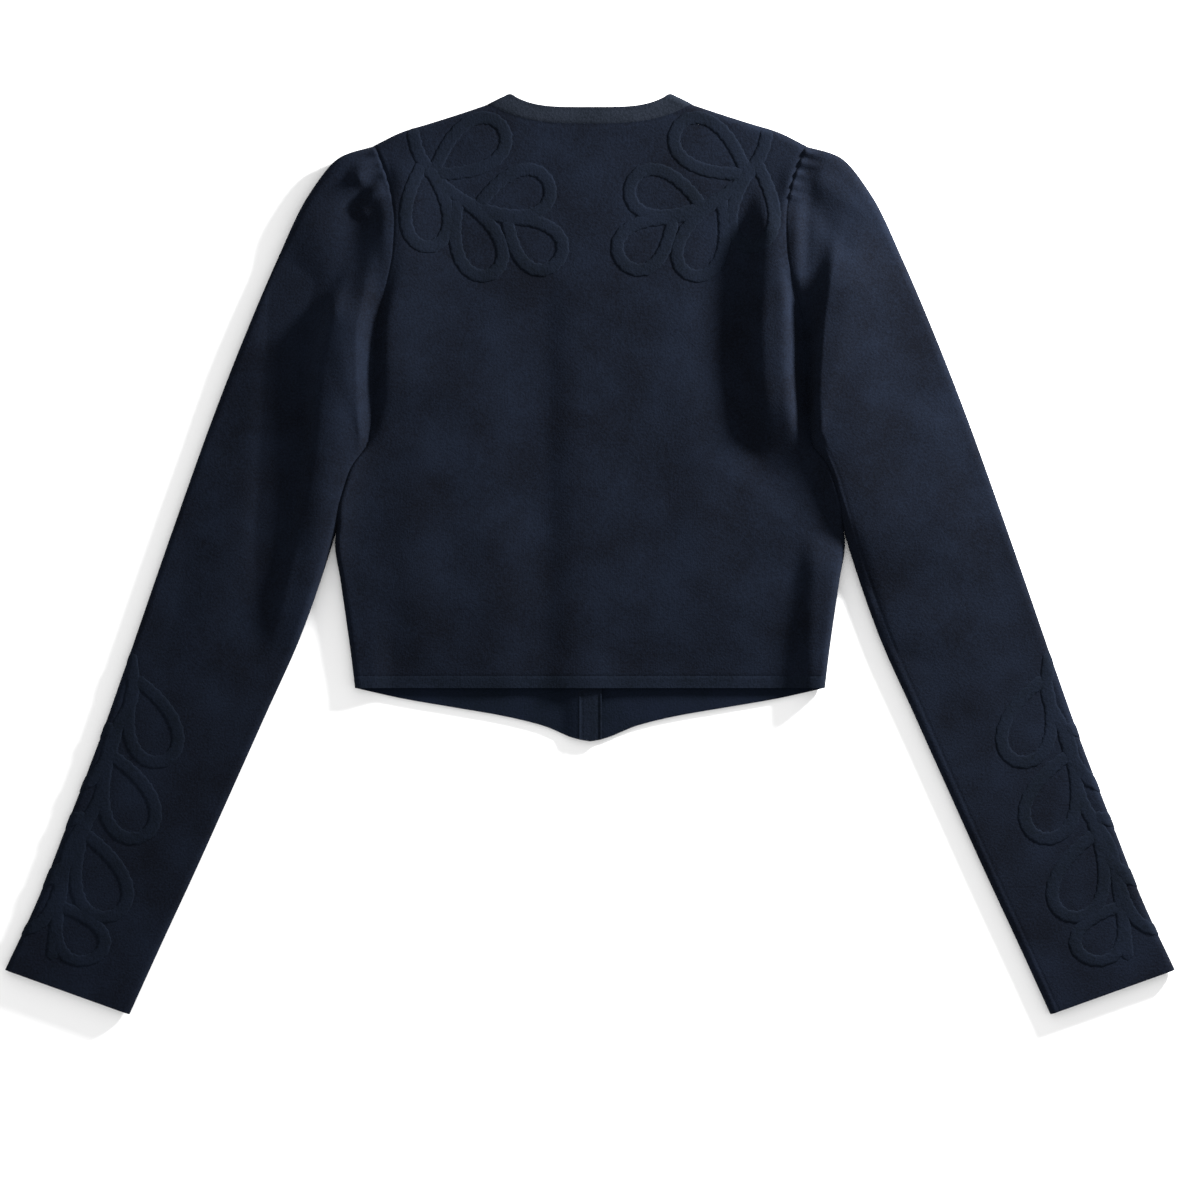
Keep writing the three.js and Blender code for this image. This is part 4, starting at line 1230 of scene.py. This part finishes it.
@dataclass
class Neckband:
    """The strip round the neck, from one front band over the shoulders to the other."""

    columns: int = 560
    rows: int = 13
    shoulder_turn: float = 153.8
    shoulder_width: float = 18.4
    crown: float = 0.3
    bead: Groove = Groove(depth=-0.25, reach=0.7)
    bead_inset: float = 0.9
    flat_run: float = 125

    def surface(self, station: Array, across: Array) -> Array:
        """Carry the strip round the neck.

        A point lies between the neckline's seam and the band's edge. Stations run from the
        middle of the back at 0, over the fold at 1 (or -1), to the front band at 2 (or -2).

        Args:
            station: Along the strip.
            across: From 0 at the seam to 1 at the edge.

        Returns:
            Points of its outside.
        """
        station, across = np.broadcast_arrays(station, across)
        side = np.where(station < 0, -1, 1)
        at = np.abs(station)
        on_back = at <= 1
        back_x = BODY.neck_seam_x * at
        back_low = BODY.back_neck_y - BODY.neck_band
        front = np.clip(2 - at, 0, 1)
        first = BODY.placket / 2 + CLOTH.seam_gap
        front_x = mix(first, BODY.neck_seam_x, front)
        turned = np.radians(mix(90, self.shoulder_turn, front**0.6))
        wide = mix(BODY.neck_band, self.shoulder_width, front**4)
        seam_x = np.where(on_back, back_x, front_x)
        seam_y = np.where(
            on_back,
            BODY.neck_seam(back_x, back_low, BODY.back_neck_power),
            BODY.neck_seam(front_x, BODY.front_neck_y, BODY.front_neck_power),
        )
        edge_x = np.where(
            on_back, BODY.neck_x * at, np.maximum(first, front_x + wide * np.cos(turned))
        )
        rise = mix(BODY.back_neck_y, BODY.neck_top_y, np.clip(at, 0, 1) ** 4)
        edge_y = np.where(on_back, rise, seam_y + wide * np.sin(turned))
        x, y = mix(seam_x, edge_x, across), mix(seam_y, edge_y, across)
        share, saved = BODY.shoulder_roll(BODY.fold_line(x) - y)
        low = (CLOTH.side_seam - CLOTH.seam_gap) * (1 - share) + BODY.front_step(side * x)
        high = CLOTH.side_seam + (CLOTH.back_top - CLOTH.side_seam) * share
        return np.stack([side * x, y + saved, np.where(on_back, high, low)], axis=-1)

    def build(self, wardrobe: Wardrobe) -> None:
        t = np.linspace(-2, 2, self.columns)
        station = t + 0.12 / math.pi * np.sin(2 * math.pi * (t - 0.5))
        station = np.clip(station, -1.998, 1.998)
        across = (crowded(self.rows, 0.5) + 1) / 2
        grid_s, grid_a = np.meshgrid(station, across, indexing="ij")
        out = way_out(self.surface, grid_s, grid_a, 1)
        wide = grid_a * BODY.neck_band
        crown = self.crown * np.sin(math.pi * grid_a) + FINE_SEAM(wide)
        crown = crown + self.bead(BODY.neck_band - wide - self.bead_inset)
        base = self.surface(grid_s, grid_a)
        crown = np.where(np.abs(grid_s) > 1, 0, crown)
        outer = offset(base, out, crown)
        inner = offset(base, out, np.full(crown.shape, -CLOTH.thickness))
        flat = np.stack([grid_s * self.flat_run, wide], axis=-1)
        wall = Shell("neckband_piece", outer, inner, flat)
        piece = wall.build()
        # The neckband gets the knit with the painted highlight: a lighter, greyer colour standing in
        # for the light it catches.
        wardrobe.dress(piece, NECK_KNIT_PAINTED_HIGHLIGHT, "neckband")
        min(wall.area, 0.5 * 0.0165)


@dataclass
class Sleeve:
    """One puffed sleeve: a flat tube, gathered into the armhole, with its spray of cord."""

    side: Side
    columns: int = 84
    rows: int = 250

    def surface(self, s: Array, v: Array) -> Array:
        """The plain outside of this sleeve."""
        return SLEEVE.surface(self.side, s, v)

    def build(self, wardrobe: Wardrobe) -> None:
        """Args:
            wardrobe: Dresses the pieces.
        """
        t = np.arange(2 * self.columns + 1) / self.columns - 1
        s = t - 0.45 / (2 * math.pi) * np.sin(2 * math.pi * t)
        v = mix(np.linspace(0, 1, self.rows) ** 1.25, np.linspace(0, 1, self.rows), 0.45)
        grid_s, grid_v = np.meshgrid(s, v, indexing="ij")
        p = SLEEVE.plan(grid_s, grid_v)
        base = self.surface(grid_s, grid_v)
        out = way_out(self.surface, grid_s, grid_v, self.side.value)
        across, up = grid_s * p["round"], (1 - grid_v) * SLEEVE.run
        seam = (1 - SLEEVE.seam_inset / SLEEVE.flat_width) * self.side.value
        lines = FINE_SEAM((grid_s - seam) * p["round"]) + SLEEVE_SPRAY.edge_groove(across, up)
        raised = SLEEVE.gathers(p, grid_s) + lines
        below = out[..., 2] < 0
        room = np.where(below, base[..., 2] / np.maximum(-out[..., 2], 1e-3), np.inf)
        outer = offset(base, out, np.minimum(raised, room))
        thick = np.full(grid_s.shape, -CLOTH.thickness)
        inner = offset(base, out, thick)
        flat = np.stack([across, up], axis=-1)
        name = f"sleeve_{self.side.word}"
        wall = Shell(
            f"{name}_tube",
            outer[:-1],
            inner[:-1],
            flat,
            wrapped=True,
            mirrored=self.side is Side.LEFT,
        )
        piece = wall.build()
        wardrobe.dress(piece, BODY_KNIT, name)
        cords = CordSpray(
            f"sleeve_cord_{self.side.word}",
            SLEEVE_SPRAY,
            self.side,
            self.on_sleeve,
            self.surface,
            self.side.value,
        ).build(wardrobe)
        wall.area

    def on_sleeve(self, across: Array, up: Array) -> tuple[Array, Array]:
        """Turn the spray's distances to the sleeve's own coordinates."""
        v = 1 - up / SLEEVE.run
        return across / SLEEVE.plan(np.full_like(v, 0.5), v)["round"], v


@dataclass(frozen=True)
class Studio:
    """The table, the lights and the camera straight above."""

    floor_size: float = 8.0
    floor_z: float = -0.0005
    view_width: float = 0.9
    view_x: float = 0.0075
    view_y: float = -0.0343
    camera_height: float = 3.2
    key_turn: float = 38.0
    key_height: float = 13.0
    key_distance: float = 1.42
    key_power: float = 120.0
    key_size: float = 0.24
    sky: float = 0.96

    def build(self) -> None:
        """Lay the table, and set the low key light, the even sky and the camera."""
        half = self.floor_size / 2
        corners = [(-half, -half), (half, -half), (half, half), (-half, half)]
        mesh = bpy.data.meshes.new("table_top")
        mesh.from_pydata([(x, y, self.floor_z) for x, y in corners], [], [(0, 1, 2, 3)])
        mesh.materials.append(TableFinish().material())
        floor = bpy.data.objects.new("table_top", mesh)
        bpy.context.collection.objects.link(floor)
        key = bpy.data.lights.new("key", "AREA")
        key.shape, key.size, key.energy = "DISK", self.key_size, self.key_power
        lamp = bpy.data.objects.new("key", key)
        turn, height = math.radians(self.key_turn), math.radians(self.key_height)
        level = self.key_distance * math.cos(height)
        lamp.location = (
            level * math.cos(turn),
            level * math.sin(turn),
            self.key_distance * math.sin(height),
        )
        lamp.rotation_euler = (0, math.pi / 2 - height, turn)
        bpy.context.collection.objects.link(lamp)
        world = bpy.data.worlds.new("studio")
        world.use_nodes = True
        world.node_tree.nodes["Background"].inputs[0].default_value = (1, 1, 1, 1)
        world.node_tree.nodes["Background"].inputs[1].default_value = self.sky
        bpy.context.scene.world = world
        bpy.context.scene.view_settings.view_transform = "Standard"
        camera = bpy.data.cameras.new("camera")
        camera.sensor_width = 36
        camera.lens = 36 * self.camera_height / self.view_width
        holder = bpy.data.objects.new("camera", camera)
        holder.location = (self.view_x, self.view_y, self.camera_height)
        bpy.context.collection.objects.link(holder)
        bpy.context.scene.camera = holder


def main() -> None:
    """Build the studio and every piece of the cardigan, in the order that they lie."""
    logging.basicConfig(level=logging.INFO, format="%(message)s")
    wardrobe = Wardrobe()
    Studio().build()
    FrontBand(Side.RIGHT, 0).build(wardrobe)
    FrontBand(Side.LEFT, CLOTH.step).build(wardrobe)
    Body().build(wardrobe)
    Neckband().build(wardrobe)
    for side in Side:
        Sleeve(side).build(wardrobe)


if __name__ == "__main__":
    main()
